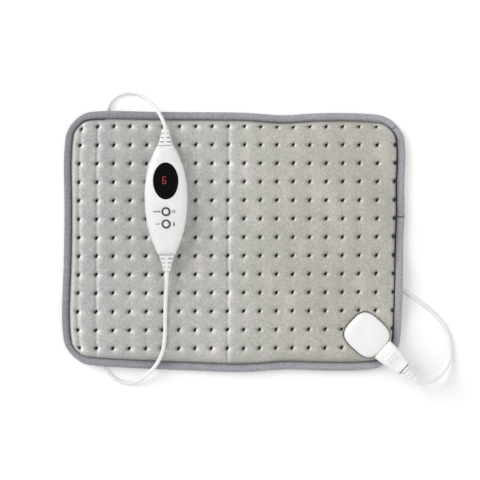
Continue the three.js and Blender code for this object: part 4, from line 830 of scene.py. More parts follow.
@dataclass
class PadCovers:
    """The tufted plush cover and the cloth cover behind it."""

    lay: PadLay
    # Distances of the grid lines on each side of a tuft
    near_tuft: tuple[float, ...] = (0.0008, 0.0016, 0.0024, 0.0033, 0.0046, 0.0068)
    # Insets of the grid lines along an edge
    edge_lines: tuple[float, ...] = (0.0029, 0.005, 0.007, 0.0091, 0.0094, 0.0098, 0.0105, 0.0114, 0.0125,
                                     0.014, 0.016, 0.019, 0.0225)
    swell_cells: int = 4  # Cells of the cloth sheet from tuft to tuft
    swell_pressure: float = 4.0  # Pressure under the cloth sheet
    swell_frames: int = 20  # Frames for which the cloth sheet swells
    swell_most: float = 0.0022  # Furthest that the cloth sheet may rise
    pit_axes: Pair = (0.0024, 0.0017)  # Half-lengths of a tuft's pit along and across its slant
    pit_slant: Pair = (math.radians(50), 0.5)  # Angle of a pit's long axis, and how far it strays
    pit_depth: Pair = (0.0040, 0.0017)  # Depth of a pit and of the dimple round it
    last_pits: float = 1.3  # How much larger the pits of the last column are
    # Radius of the dimple round a pit, and the place of its middle along X from the pit
    dimple: Pair = (0.0044, -0.0014)
    lip: float = 0.0007  # Height of the puffed side of a pit
    crescent: Spot = Spot(0.0024, -0.0007, 0.0014, 0.0020, 1.4)  # Painted highlight on the thin edge of the puffed side, which it also lifts
    puff: Spot = Spot(0.0040, -0.0022, 0.0040, 0.0040, 0.7)  # Painted highlight on the puffed side, on the left half of the pad, which it also lifts
    lee: Spot = Spot(-0.0031, 0.0004, 0.0021, 0.0021, -0.7)  # Painted shade on the shaded side of a pit
    # Place, half-width, half-length and heading of the socket that presses the plush in
    pressed: tuple[float, ...] = (0.1564, -0.1088, 0.0222, 0.0239, math.radians(-42.2))
    squareness: float = 3.2  # Power of the socket's outline
    # Depth and half-width of the furrow round it, and how dark the painted shade in it is
    press: Triple = (0.0014, 0.0020, 0.95)
    seat: float = 0.0176  # Height of the plush under it above the table
    creases: tuple[int, ...] = (0, 1, 9)  # Columns along which the plush is creased
    crease: Pair = (0.0013, 0.0015)  # Half-width and depth of a crease
    swell: list[list[float]] = field(default_factory=list)

    def lines(self, axis: int) -> list[float]:
        """Grid lines along one axis: close by each tuft and by the edges.

        Args:
            axis: 0 for X, 1 for Y.

        Returns:
            The lines in order.
        """
        half = (self.lay.length, self.lay.width)[axis] / 2
        pitch = self.lay.pitch()[axis]
        spots = [side * (half - inset) for inset in self.edge_lines for side in (-1, 1)]
        spacing, count, closest = 0.002, 15, 0.00033
        spots += [self.pressed[axis] + spacing * k for k in range(-count, count + 1)]
        for tuft in self.lay.tufts()[axis]:
            spots += [tuft, tuft + pitch / 2]
            spots += [tuft + side * step for step in self.near_tuft for side in (-1, 1)]
        kept: list[float] = []
        for spot in sorted(s for s in spots if abs(s) <= half - self.edge_lines[0] + 1e-9):
            if not kept or spot - kept[-1] > closest:
                kept.append(spot)
        return kept

    def swell_sheet(self) -> None:
        """Lets a cloth sheet, held at its tufts and its border, swell under pressure.

        The heights are kept in the field swell, one row for each line of the sheet.
        """
        cells = self.swell_cells
        count_x, count_y = (self.lay.columns + 1) * cells, (self.lay.rows + 1) * cells
        step_x, step_y = (step / cells for step in self.lay.pitch())
        bm = bmesh.new()
        bmesh.ops.create_grid(bm, x_segments=count_x, y_segments=count_y, size=0.5)
        bmesh.ops.scale(bm, vec=(count_x * step_x, count_y * step_y, 1.0), verts=bm.verts)
        sheet = to_object("swelling_sheet", bm)
        spots = [(round(v.co.x / step_x + count_x / 2), round(v.co.y / step_y + count_y / 2))
                 for v in sheet.data.vertices]
        held = [k for k, (i, j) in enumerate(spots)
                if (i % cells == 0 and j % cells == 0) or i in (0, count_x) or j in (0, count_y)]
        sheet.vertex_groups.new(name="held").add(held, 1.0, "REPLACE")
        cloth = sheet.modifiers.new("swell", "CLOTH").settings
        cloth.vertex_group_mass = "held"
        cloth.use_pressure = True
        cloth.uniform_pressure_force = self.swell_pressure
        cloth.effector_weights.gravity = 0
        scene = bpy.context.scene
        for step in range(1, self.swell_frames + 1):
            scene.frame_set(step)
        swollen = sheet.evaluated_get(bpy.context.evaluated_depsgraph_get()).data
        self.swell = [[0.0] * (count_x + 1) for _ in range(count_y + 1)]
        for (i, j), vert in zip(spots, swollen.vertices):
            self.swell[j][i] = clamp(vert.co.z, 0.0, self.swell_most)
        log.info("cloth sheet rose by up to %.2f mm", max(v.co.z for v in swollen.vertices) / MM)
        bpy.data.meshes.remove(sheet.data)
        scene.frame_set(1)

    def swollen(self, x: float, y: float) -> float:
        """Height of the cloth sheet at a point, smoothed between its lines.

        Args:
            x, y: The place.

        Returns:
            The height in metres.
        """
        firsts = [line[0] for line in self.lay.tufts()]
        steps = [step / self.swell_cells for step in self.lay.pitch()]
        u = clamp((x - firsts[0]) / steps[0] + self.swell_cells, 0, len(self.swell[0]) - 1.001)
        v = clamp((y - firsts[1]) / steps[1] + self.swell_cells, 0, len(self.swell) - 1.001)
        i, j = int(u), int(v)
        weights_x, weights_y = self.spline(u - i), self.spline(v - j)
        total = 0.0
        for b, weight_y in enumerate(weights_y):
            row = self.swell[int(clamp(j + b - 1, 0, len(self.swell) - 1))]
            near = [row[int(clamp(i + a - 1, 0, len(row) - 1))] for a in range(len(weights_x))]
            total += weight_y * sum(weight * height for weight, height in zip(weights_x, near))
        return total

    @staticmethod
    def spline(t: float) -> tuple[float, float, float, float]:
        """Weights of the four lines round a share of the way from one line to the next."""
        return ((-t + 2 * t * t - t ** 3) / 2, (2 - 5 * t * t + 3 * t ** 3) / 2,
                (t + 4 * t * t - 3 * t ** 3) / 2, (t ** 3 - t * t) / 2)

    def creased(self, x: float, y: float) -> Pair:
        """How deep the creases draw the plush in at a point, and the painted light and painted shade beside
        them.
        """
        columns, _ = self.lay.tufts()
        sway, sway_scale, mean, change, change_scale = 0.001, 30.0, 0.75, 0.7, 25.0
        # Painted highlight to the right of a crease and painted shade to its left: strength, place and
        # half-width
        lit, shaded = (0.95, 0.0024, 0.0018), (-0.35, -0.0010, 0.0011)
        depth = painted_light = 0.0
        for k in self.creases:
            aside = x - columns[k] + sway * noise.noise((0, sway_scale * y, k))
            strength = clamp(mean + change * noise.noise((k, change_scale * y, 4)))
            depth += self.crease[1] * strength * bell(aside, self.crease[0])
            for light, place, width in (lit, shaded):
                painted_light += strength * light * bell(aside - place, width)
        return depth, painted_light

    def from_pit(self, x: float, y: float, i: int, j: int) -> Triple:
        """Where a point lies from the pit of one tuft.

        Args:
            x, y: The place.
            i: The tuft's column.
            j: The tuft's row.

        Returns:
            The distance along X and along Y, and the pit's slant.
        """
        stray, next_shift, last_shift, last_rise, corner_drop = 0.0004, 0.0009, 0.0010, 0.0019, 0.0029
        columns, rows = self.lay.tufts()
        chance = noise.noise_vector((i * 1.7, j * 2.3, 0.5))
        dx = x - columns[i] - stray * (1 + chance.x)
        dy = y - rows[j] - stray * chance.y
        if i == len(columns) - 2:
            dx -= next_shift
        if i == len(columns) - 1:
            dx -= last_shift * (1 + smoothstep(-y, -0.02, 0.04))
            dy -= last_rise
        if i == 0 and j == len(rows) - 1:
            dy += corner_drop
        return dx, dy, self.pit_slant[0] + self.pit_slant[1] * chance.z

    def sunk(self, x: float, y: float) -> Triple:
        """How deep the plush is drawn in at a point by its nearest tuft and the creases.

        Args:
            x, y: The place.

        Returns:
            The depth, the share of the painted shade in the pit, and the painted light and painted shade on
            the pile.
        """
        columns, rows = self.lay.tufts()
        pitch_x, pitch_y = self.lay.pitch()
        i = int(clamp(round((x - columns[0]) / pitch_x), 0, len(columns) - 1))
        j = int(clamp(round((y - rows[0]) / pitch_y), 0, len(rows) - 1))
        depth, painted_light = self.creased(x, y)
        last = i == len(columns) - 1
        if last and j == len(rows) - 1:
            return depth, 0.0, painted_light
        dx, dy, slant = self.from_pit(x, y, i, j)
        long, short = (axis * (self.last_pits if last else 1.0) for axis in self.pit_axes)
        far = (dx * math.cos(slant) + dy * math.sin(slant)) / long
        wide = (dy * math.cos(slant) - dx * math.sin(slant)) / short
        pit = bell(math.hypot(far, wide), 1.0)
        radius, aside = self.dimple
        depth += self.pit_depth[0] * pit + self.pit_depth[1] * bell(math.hypot(dx - aside, dy), radius)
        crescent = 0.0 if last else self.crescent.at(dx, dy)
        puffed = (1 - smoothstep(x, -0.02, 0.04)) * self.puff.at(dx, dy)
        # Painted shade over the left part of the pad, and painted highlights and shade round the pit
        left_shade = 0.15
        painted_light -= left_shade * (1 - smoothstep(x, -0.09, -0.05))
        painted_light += self.crescent.light * crescent + self.puff.light * puffed
        painted_light += self.lee.light * self.lee.at(dx, dy)
        # Painted shade in the pit, less under its painted highlight
        strong, less, lit = 1.8, 0.12, 0.8
        return depth - self.lip * max(crescent, puffed), clamp(strong * pit - less - lit * crescent), painted_light

    def beside(self, x: float, y: float) -> float:
        """Distance of a point outside the socket's outline, less than nothing within it."""
        place_x, place_y, half_width, half_length, heading = self.pressed
        local = Matrix.Rotation(math.pi / 2 - heading, 2) @ Vector((x - place_x, y - place_y))
        shares = abs(local.x / half_width), abs(local.y / half_length)
        size = sum(share ** self.squareness for share in shares) ** (1 / self.squareness)
        return (size - 1) * half_width

    def upper(self, x: float, y: float) -> Triple:
        """The upper side of the plush at a point of its square-cornered field.

        Args:
            x, y: The place.

        Returns:
            The height above the middle plane, the share of the painted shade of pits, groove and socket, and
            the painted light and painted shade on the pile.
        """
        lay = self.lay
        px, py = lay.rounded(x, y)
        depth = lay.edge_distance(px, py)
        inward = depth - lay.shoulder
        share = clamp(inward / lay.crown_run)
        deepen, darken, painted_fade, painted_fade_left = 3.0, 10.0, 2.0, 3.0
        # Painted highlight along the left rim and the right flank of the plush: place, half-width and
        # strength
        rim, flank = (0.0030, 0.0012, 1.1), (0.0045, 0.0045, 0.45)
        sunk, dark, painted_light = self.sunk(px, py)
        left, right = (smoothstep(side * px, *lay.end_reach) for side in (-1, 1))
        for end, (place, width, light) in ((left, rim), (right, flank)):
            painted_light += end * light * bell(inward - place, width)
        beside = self.beside(*lay.drawn(px, py, depth))
        furrow = bell(beside, self.press[1])
        sunk += self.press[0] * furrow
        uneven, scale, seat_run, seat_rise = 0.0003, 90.0, 0.007, 0.004
        puffed = self.swollen(x, y) + uneven * noise.noise((scale * x, scale * y, 2.0))
        height = lay.crown(depth, px) + share * puffed - min(share * deepen, 1) * sunk
        under = (1 - smoothstep(beside, 0.0, seat_run)) * smoothstep(inward, 0.0, seat_rise)
        height += under * max(self.seat - lay.level(px, py) - height, 0.0)
        # Painted shade in the groove between the plush and the binding, fainter along the long sides
        wide, narrower, faint, corner_x, corner_y = 0.0017, 0.0005, 0.62, 0.150, 0.110
        at_end = abs(px) / lay.length > abs(py) / lay.width or min(-px - corner_x, py - corner_y) > 0
        groove = bell(inward - narrower * left, wide - narrower * left) * (1.0 if at_end else faint)
        # Painted shade: in the pits, in the groove and round the socket
        pit = max(dark * min(share * darken, 1), groove, self.press[2] * furrow ** 2)
        return height, pit, clamp(painted_light, *PLUSH.painted_light_span) * min(share * (painted_fade + painted_fade_left * left), 1)

    def plush(self) -> Piece:
        """Builds the tufted plush cover, closed by its own underside.

        Returns:
            The cover.
        """
        self.swell_sheet()
        xs, ys = self.lines(0), self.lines(1)
        bm = bmesh.new()
        painted_light_layer = bm.verts.layers.float.new("painted_light")
        pit_shade_layer = bm.verts.layers.float.new("pit")
        bmesh.ops.create_grid(bm, x_segments=len(xs) - 1, y_segments=len(ys) - 1, size=0.5)
        under = bmesh.ops.duplicate(bm, geom=bm.verts[:] + bm.edges[:] + bm.faces[:])["geom"]
        under_verts = {part for part in under if isinstance(part, bmesh.types.BMVert)}
        rims = [edge for edge in bm.edges if edge.is_boundary]
        bmesh.ops.reverse_faces(bm, faces=[part for part in under if isinstance(part, bmesh.types.BMFace)])
        bmesh.ops.bridge_loops(bm, edges=rims)
        low, high = self.lay.flange_rise[0], self.lay.plush_rise[0]
        under_run, thinnest = 0.006, 0.0004
        for vert in bm.verts:
            x = xs[round((vert.co.x + 0.5) * (len(xs) - 1))]
            y = ys[round((vert.co.y + 0.5) * (len(ys) - 1))]
            px, py = self.lay.rounded(x, y)
            depth = self.lay.edge_distance(px, py)
            height = low + (high - low) * smoothstep(depth - self.lay.shoulder, 0.0, under_run)
            if vert not in under_verts:
                top, vert[pit_shade_layer], vert[painted_light_layer] = self.upper(x, y)
                height = max(top, height + thinnest)
            vert.co = (*self.lay.drawn(px, py, depth), self.lay.level(px, py) + height)
        bmesh.ops.recalc_face_normals(bm, faces=bm.faces)
        made = piece("plush_cover", bm, PLUSH, Body.PAD, "pad_front_cover", sharp=180)
        return made

    def back(self, spacing: float = 0.006) -> Piece:
        """Builds the cloth cover that lies under the pad.

        Args:
            spacing: Width of the grid's cells.

        Returns:
            The cover.
        """
        half_x, half_y = self.lay.length / 2 - self.lay.flange, self.lay.width / 2 - self.lay.flange
        count_x, count_y = round(2 * half_x / spacing), round(2 * half_y / spacing)
        bm = bmesh.new()
        bmesh.ops.create_grid(bm, x_segments=count_x, y_segments=count_y, size=1.0)
        along = bm.verts.layers.float.new("along")
        around = bm.verts.layers.float.new("around")
        for vert in bm.verts:
            x, y = self.lay.rounded(vert.co.x * half_x, vert.co.y * half_y)
            vert[along], vert[around] = x, y
            vert.co = (*self.lay.laid(x, y), self.lay.level(x, y) - self.lay.flange_rise[0])
        low, high = self.lay.flange_rise
        bmesh.ops.solidify(bm, geom=bm.faces[:], thickness=high - low)
        bmesh.ops.recalc_face_normals(bm, faces=bm.faces)
        made = piece("back_cover", bm, BACK_CLOTH, Body.PAD, "pad_back_cover", sharp=60)
        return made


@dataclass
class EdgeBinding:
    """The soft tape rolled over the pad's edge, with its line of stitches."""

    lay: PadLay
    slot: Pair = (0.00165, 0.0026)  # Half-height of the slot that takes the cloth, and its foot's inset
    step: float = 0.0032  # Spacing of the tape's sections
    # How far the tape wavers sideways, the share of that upwards, and its scale per metre
    pucker: Triple = (0.00022, 0.6, 60.0)
    # Place of the joint where the tape's ends overlap, and the overlap's length and rise
    seam: Triple = (0.0298, 0.013, 0.00055)
    seam_lines: tuple[float, ...] = (-0.0007, 0.0, 0.0007)  # Places of the sections at the joint
    seam_nick: Pair = (0.0008, 0.0006)  # Depth and half-width of the nick at the joint
    joint_shade_thread: float = 0.0005  # Radius of the dark thread over the joint, a painted shade of its nick
    fold: float = 38.0  # Where the tape is folded in the corner, in degrees
    # Places of the sections at the fold, in degrees
    fold_lines: tuple[float, ...] = (-4.0, -1.8, 0.0, 1.8, 3.6)
    fold_nick: Pair = (0.0026, 0.04)  # Depth and half-width of the nick at the fold, the width as an angle
    # Spacing, half-length and radius of the stitches, and their slant
    stitch: tuple[float, ...] = (0.0042, 0.0013, 0.00024, 0.12)
    # Upper side of the tape as shares of its width and half-height; a stitch sits at the third point
    roll: tuple[Pair, ...] = (
        (0.985, 0.42), (0.95, 0.54), (0.88, 0.69), (0.78, 0.84), (0.64, 0.95), (0.49, 1.0), (0.34, 0.98),
        (0.20, 0.88), (0.095, 0.70), (0.03, 0.44), (0.0, 0.15))

    def section(self) -> list[Pair]:
        """The tape's section: inset and height of each point, round its slot."""
        width, height = self.lay.binding
        half = height / 2
        upper = [(width * inset, half * rise) for inset, rise in self.roll]
        lower = [(inset, -rise) for inset, rise in reversed(upper)]
        lip, foot = self.slot
        return [(width, lip), *upper, *lower, (width, -lip), (foot, -lip), (foot, lip)]

    def stations(self) -> list[tuple[Vector, Vector]]:
        """Points of the pad's core outline with their outward directions, once round."""
        core_x, core_y = self.lay.length / 2 - self.lay.corner, self.lay.width / 2 - self.lay.corner
        sides = ((1, 1), (-1, 1), (-1, -1), (1, -1))
        corners = [(x * core_x, y * core_y, 90 * k) for k, (x, y) in enumerate(sides)]
        spots: list[tuple[Vector, Vector]] = []
        for k, (cx, cy, start) in enumerate(corners):
            turns = [float(turn) for turn in range(0, 91, 5)]
            if k == 0:
                turns = sorted(turns + [self.fold + step for step in self.fold_lines])
            for turn in turns:
                angle = math.radians(start + turn)
                spots.append((Vector((cx, cy)), Vector((math.cos(angle), math.sin(angle)))))
            nx, ny, _ = corners[(k + 1) % 4]
            run = Vector((nx - cx, ny - cy))
            count = round(run.length / self.step)
            shares = [i / count for i in range(1, count)]
            if k == 3:
                shares += [(self.seam[0] - cy + step) / run.length for step in self.seam_lines]
            spots += [(Vector((cx, cy)) + run * share, spots[-1][1]) for share in sorted(shares)]
        return spots

    def crevice(self, core: Vector, out: Vector) -> float:
        """How deep the tape is nicked at a place: at its joint and at the fold in one corner."""
        on_side = out.x > 0.999
        away = core.y - self.seam[0] if on_side else math.atan2(out.y, out.x) - math.radians(self.fold)
        depth, width = self.seam_nick if on_side else self.fold_nick
        return depth * bell(away, width)

    def place(self, core: Vector, out: Vector, inset: float, rise: float) -> Vector:
        """The point of the laid pad at an inset from the outline and a rise above the middle plane."""
        x, y = core + out * (self.lay.corner - inset)
        return Vector((*self.lay.laid(x, y), self.lay.level(x, y) + rise))

    def build(self) -> None:
        """Builds the tape and its stitches."""
        width, height = self.lay.binding
        seam_y, overlap, lap = self.seam
        aside, upward, scale = self.pucker
        rings = []
        for core, out in self.stations():
            waver = aside * noise.noise((core + out * self.lay.corner).to_3d() * scale)
            on_lap = out.x > 0.99 and seam_y - overlap < core.y < seam_y
            nick = self.crevice(core, out)
            ring = []
            for inset, rise in self.section():
                outer = inset > self.slot[1] and abs(rise) > self.slot[0]
                swell = (lap if on_lap and rise > 0 else 0.0) - nick if outer else 0.0
                shift = waver * (inset / width)
                swollen = rise * (1 + swell / (height / 2)) + (shift * upward if rise > 0 else 0.0)
                ring.append(self.place(core, out, inset - shift, swollen))
            rings.append(ring)
        piece("rolled_binding", lofted(rings, Cap.JOINED), BINDING, Body.PAD, "edge_binding", sharp=50)
        self.sew()
        self.close()

    def close(self) -> None:
        """Builds the dark thread over the tape's joint, on its upper side: a painted shade of the joint's
        nick.
        """
        core, out = Vector((self.lay.length / 2 - self.lay.corner, self.seam[0])), Vector((1.0, 0.0))
        sides = 8
        turns = [math.tau * k / sides for k in range(sides)]
        rings = []
        for inset, rise in self.section()[2:len(self.roll)]:
            middle = self.place(core, out, inset, rise)
            rings.append([middle + self.joint_shade_thread * Vector((0, math.cos(t), math.sin(t))) for t in turns])
        piece("binding_joint", lofted(rings), JOINT_SHADE_THREAD, Body.PAD, slot="binding")

    def sew(self) -> None:
        """Builds the stitches that hold the tape, on its upper side."""
        spacing, reach, radius, slant = self.stitch
        inset, rise = self.section()[3]
        spots = self.stations()
        travelled, due, stitches = 0.0, 0.0, []
        for (core, out), (next_core, next_out) in zip(spots, spots[1:] + spots[:1]):
            start = self.place(core, out, inset, rise)
            way = self.place(next_core, next_out, inset, rise) - start
            while due <= travelled + way.length:
                middle = start + way.normalized() * (due - travelled)
                bead = bmesh.new()
                bmesh.ops.create_uvsphere(bead, u_segments=6, v_segments=4, radius=radius)
                bmesh.ops.scale(bead, vec=(reach / radius, 1.0, 1.0), verts=bead.verts)
                turn = Matrix.Rotation(math.atan2(way.y, way.x) + slant, 4, "Z")
                bmesh.ops.transform(bead, matrix=Matrix.Translation(middle) @ turn, verts=bead.verts)
                stitches.append(bead)
                due += spacing
            travelled += way.length
        piece("binding_stitches", merged(stitches), STITCH, Body.PAD, slot="binding")


# Hand controller
def superoval(width: float, length: float, power: float, steps: int) -> list[Pair]:
    """Points of an oval that is squarer the higher its power is; 2 is a plain oval."""
    def drawn(share: float) -> float:
        """A sine or cosine drawn out towards the corners."""
        return math.copysign(abs(share) ** (2 / power), share)

    turns = [math.tau * k / steps for k in range(steps)]
    return [(width / 2 * drawn(math.cos(t)), length / 2 * drawn(math.sin(t))) for t in turns]


def bar(stations: Iterable[Triple], z: float, power: float = 4.0) -> Shape:
    """A bar along Y through sections of a place, a width and a height, about an axis at a height."""
    return lofted([[Vector((x, y, z + up)) for x, up in superoval(width, height, power, 40)]
                   for y, width, height in stations])


def oval(width: float, length: float, y: float, z: float, steps: int = 72) -> Ring:
    """A level oval ring about a point of the controller's middle line."""
    return [Vector((x, y + along, z)) for x, along in superoval(width, length, 2.0, steps)]


def pin(radius: float, low: float, high: float, centre: Vector, steps: int = 40) -> Shape:
    """An upright round pin between two heights."""
    return spun([(0, low), (radius, low), (radius, high), (0, high)], centre, steps)


@dataclass
class Placed:
    """A sub-assembly that is built in its own frame."""

    centre: Triple  # Its middle on the pad
    turn: float  # Its turn on the pad, about Z

    def placed(self, bm: Shape) -> Shape:
        """Moves a shape from the sub-assembly's own frame to its place on the pad."""
        place = Matrix.Translation(self.centre) @ Matrix.Rotation(self.turn, 4, "Z")
        bmesh.ops.transform(bm, matrix=place, verts=bm.verts)
        return bm


@dataclass
class Controller(Placed):
    """The hand controller: a pointed oval case with a display, two buttons and two boots."""

    centre: Triple = (-0.0794, 0.0475, 0.0179)
    turn: float = math.radians(0.9)
    length: float = 0.128
    width: float = 0.050
    end_width: float = 0.0195  # Width of the case at its ends
    height: float = 0.022
    parting: float = 0.010  # Height of the parting line
    wall: float = 0.002  # Thickness of the case
    gap: float = 0.0003  # Gap between pieces
    bulge: float = 2.2  # Power of the outline's swell
    widest: float = 0.06  # Where the case is widest, as a share of half its length
    plateau: float = 0.34  # Share of the width that is level on top
    # Shares of the upper shell's rise to which it is upright and from which it rounds, and the power
    brow: Triple = (0.2, 0.34, 0.9)
    end_draw: float = 0.010  # How far the ends draw in as the upper shell rounds
    # Inset of the lower shell at shares of its height
    keel: tuple[Pair, ...] = (
        (0.0, 1.0), (0.0, 0.5), (0.0006, 0.26), (0.0018, 0.1), (0.0034, 0.02), (0.0048, 0.0))
    # Width and length of the display's window, and its place along Y
    lens: Triple = (0.0293, 0.0427, 0.0224)
    lens_rise: Triple = (0.0199, 0.0218, 0.0224)  # Underside, edge and crown of the window
    lens_chamfer: Pair = (0.0003, 0.0002)  # Width and height of the window's chamfer
    lens_ledge: float = 0.005  # How much smaller the opening under the window is
    # Width, length and stroke of the lit digit, and its offset from the window's middle
    digit: tuple[float, ...] = (0.0044, 0.0086, 0.0008, -0.0016, 0.0008)
    # How deep the digit's segments sit in the window, and how far they stand out
    digit_rise: Pair = (0.0001, 0.00006)
    # Place along Y of each button by its body
    buttons: tuple[tuple[Body, float], ...] = ((Body.TIMER, -0.0134), (Body.HEAT, -0.0278))
    # Radius and height above the case of a button's ring
    bezel: tuple[Pair, ...] = (
        (0.00355, -0.003), (0.0042, -0.003), (0.0042, 0.0003), (0.0053, 0.0003), (0.0053, 0.0006),
        (0.00515, 0.00088), (0.0048, 0.001), (0.0039, 0.001), (0.00363, 0.0009), (0.00355, 0.0006))
    # The same of a button's cap
    cap: tuple[Pair, ...] = (
        (0.0, -0.0086), (0.0015, -0.0086), (0.0015, -0.0045), (0.0042, -0.0045), (0.0042, -0.0033),
        (0.00315, -0.0033), (0.00315, 0.0008), (0.00308, 0.00105), (0.0029, 0.0012), (0.0025, 0.00128),
        (0.0013, 0.0013), (0.0007, 0.00126), (0.0, 0.00122))
    dot: Triple = (0.00036, 0.0012, 0.00128)  # Radius, foot and top of the dot on the cap, above the case
    key_hole: Pair = (0.0045, 0.012)  # Radius of a button's hole, and the height at which it starts
    # Half-width and half-height of a boot's neck in the case, and how far it reaches in and out
    neck: tuple[float, ...] = (0.0053, 0.0038, 0.004, 0.002)
    # Length of a boot, and width and height at its base and at its tip
    boot: tuple[float, ...] = (0.0187, 0.0186, 0.013, 0.009, 0.0084)
    boot_neck: Triple = (0.0035, 0.010, 0.007)  # Length, width and height of a boot's neck
    boot_edge: float = 0.0012  # How much smaller a boot's base is at its edge
    # Distances from a boot's tip and how much smaller it is there
    boot_tip: tuple[Pair, ...] = ((0.0008, 0.0), (0.0002, 0.0006), (0.0, 0.0016))
    # First place from the tip, pitch and width of its slots, and the spine and rim beside them
    boot_slots: tuple[float, ...] = (0.0045, 0.005, 0.0013, 0.0034, 0.0010)
    screws: Pair = (0.010, 0.046)  # Places of the screws as X and Y
    screw_head: Pair = (0.003, 0.0025)  # Radius and depth of a screw's recess

    def half_width(self, along: float) -> float:
        """Half the case's width at a share of half its length."""
        offset = along - self.widest
        away = abs(offset) / (1 - math.copysign(self.widest, offset))
        return self.end_width / 2 + (self.width - self.end_width) / 2 * (1 - away ** self.bulge)

    def outline(self, share: float, reach: float, z: float, inset: float = 0.0, steps: int = 44) -> Ring:
        """A level ring of the case.

        Args:
            share: Share of the case's width.
            reach: Half the ring's length.
            z: Its height.
            inset: How far it sits inside that.
            steps: Count of its points along each side.

        Returns:
            The ring.
        """
        side, least = [], 0.0004
        for k in range(steps + 1):
            along = -math.cos(math.pi * k / steps)
            across = max(self.half_width(along) * share - inset, least)
            side.append(Vector((across, along * (reach - inset), z)))
        return side + [Vector((-spot.x, spot.y, z)) for spot in reversed(side)]

    def top_rows(self, steps: int = 12) -> list[Triple]:
        """Width share, half-length and height of the upper shell's rings, from the parting line up."""
        foot = self.parting + self.gap / 2
        rise, half = self.height - foot, self.length / 2
        upright, brow, power = self.brow
        rows = [(1.0, half, foot), (1.0, half, foot + upright * rise)]
        for k in range(steps + 1):
            angle = math.pi / 2 * k / steps
            drawn = 1 - math.cos(angle)
            up = brow + (1 - brow) * math.sin(angle) ** power
            rows.append((1 - (1 - self.plateau) * drawn, half - self.end_draw * drawn, foot + rise * up))
        return rows

    def skin(self, x: float, y: float) -> float:
        """Height of the upper shell at a point of its top."""
        share = clamp(abs(x) / self.half_width(clamp(y / (self.length / 2), -1, 1)))
        drawn = clamp((1 - share) / (1 - self.plateau))
        foot = self.parting + self.gap / 2
        _, brow, power = self.brow
        return foot + (self.height - foot) * (brow + (1 - brow) * (1 - (1 - drawn) ** 2) ** (power / 2))

    def boot_openings(self) -> list[Shape]:
        """Cutters for the necks of the two boots."""
        half_width, half_height, within, beyond = self.neck
        low = Vector((-half_width, self.length / 2 - within, self.parting - half_height))
        high = Vector((half_width, self.length / 2 + beyond, self.parting + half_height))
        turned = block(low, high)
        bmesh.ops.rotate(turned, cent=(0, 0, 0), matrix=Matrix.Rotation(math.pi, 3, "Z"), verts=turned.verts)
        return [block(low, high), turned]

    def shells(self) -> None:
        """Builds the upper and the lower shell."""
        rows = self.top_rows()
        outer = [self.outline(share, reach, z) for share, reach, z in rows]
        inner = [self.outline(share, reach, z if k == 0 else z - self.wall, self.wall)
                 for k, (share, reach, z) in enumerate(rows)]
        lens_width, lens_length, lens_y = self.lens
        low, high = self.lens_rise[0] - self.gap, self.height + self.wall
        play = 2 * self.gap
        pocket = [oval(lens_width + play, lens_length + play, lens_y, z) for z in (low, high)]
        window = [oval(lens_width - self.lens_ledge, lens_length - self.lens_ledge, lens_y, z)
                  for z in (self.parting, high)]
        radius, foot = self.key_hole
        holes = [pin(radius, foot, high, Vector((0, y, 0))) for _, y in self.buttons]
        upper = carved(lofted(inner[::-1] + outer),
                       [lofted(pocket), lofted(window), *holes, *self.boot_openings()])
        piece("case_upper", self.placed(upper), CASE_WHITE, Body.CONTROLLER, "controller_top_shell",
              sharp=32)
        rim = self.parting - self.gap / 2
        rows = [(inset, rim * share) for inset, share in self.keel]
        outer = [self.outline(1.0, self.length / 2, z, inset) for inset, z in rows]
        inner = [self.outline(1.0, self.length / 2, rim if k == 0 else z + self.wall, inset + self.wall)
                 for k, (inset, z) in enumerate(rows)]
        head, depth = self.screw_head
        recesses = [pin(head, -self.wall / 2, depth, Vector((x, y, 0)), 24)
                    for x in (-self.screws[0], self.screws[0]) for y in (-self.screws[1], self.screws[1])]
        lower = carved(lofted(inner[::-1] + outer), [*recesses, *self.boot_openings()])
        piece("case_lower", self.placed(lower), CASE_WHITE, Body.CONTROLLER, "controller_bottom_shell",
              sharp=32)

    def display(self) -> None:
        """Builds the window and the lit digit under its surface."""
        width, length, y = self.lens
        under, edge, crown = self.lens_rise
        chamfer, drop = self.lens_chamfer
        rings = [oval(width, length, y, under), oval(width, length, y, edge - drop),
                 oval(width - chamfer, length - chamfer, y, edge)]
        for share in (0.94, 0.85, 0.72, 0.56, 0.38, 0.18):
            rings.append(oval(width * share, length * share, y, edge + (crown - edge) * (1 - share ** 2)))
        piece("display_window", self.placed(lofted(rings)), LENS_BLACK, Body.CONTROLLER, "display_lens",
              sharp=60)
        wide, tall, stroke, offset_x, offset_y = self.digit
        x, h, r = wide / 2, tall / 2, stroke / 2
        spread = [(-x, h - stroke, x, h), (-x, -r, x, r), (-x, -h, x, stroke - h),
                  (-x, r, stroke - x, h - r), (-x, r - h, stroke - x, r), (x - stroke, r - h, x, r)]
        deep, proud = self.digit_rise
        low, high = (Vector((offset_x, y + offset_y, crown + rise)) for rise in (-deep, proud))
        bars = [block(low + Vector((a, b, 0)), high + Vector((c, d, 0)), proud) for a, b, c, d in spread]
        piece("digit_segments", self.placed(merged(bars)), DIGIT_RED, Body.CONTROLLER, "lit_digit")

    def keys(self) -> None:
        """Builds each button's ring and cap."""
        ring = [(radius, self.height + rise) for radius, rise in self.bezel]
        cap = [(radius, self.height + rise) for radius, rise in self.cap]
        radius, foot, top = self.dot
        for body, y in self.buttons:
            name = body.value
            centre = Vector((0, y, 0))
            dot = pin(radius, self.height + foot, self.height + top, centre, 16)
            bezel, key = self.placed(spun(ring, centre)), self.placed(spun(cap, centre))
            piece(f"{name}_bezel", bezel, RING_GREY, Body.CONTROLLER, f"{name}_ring", sharp=30)
            piece(f"{name}_key", key, BUTTON_WHITE, body, f"{name}_cap", sharp=30)
            piece(f"{name}_dot", self.placed(dot), RING_GREY, body)

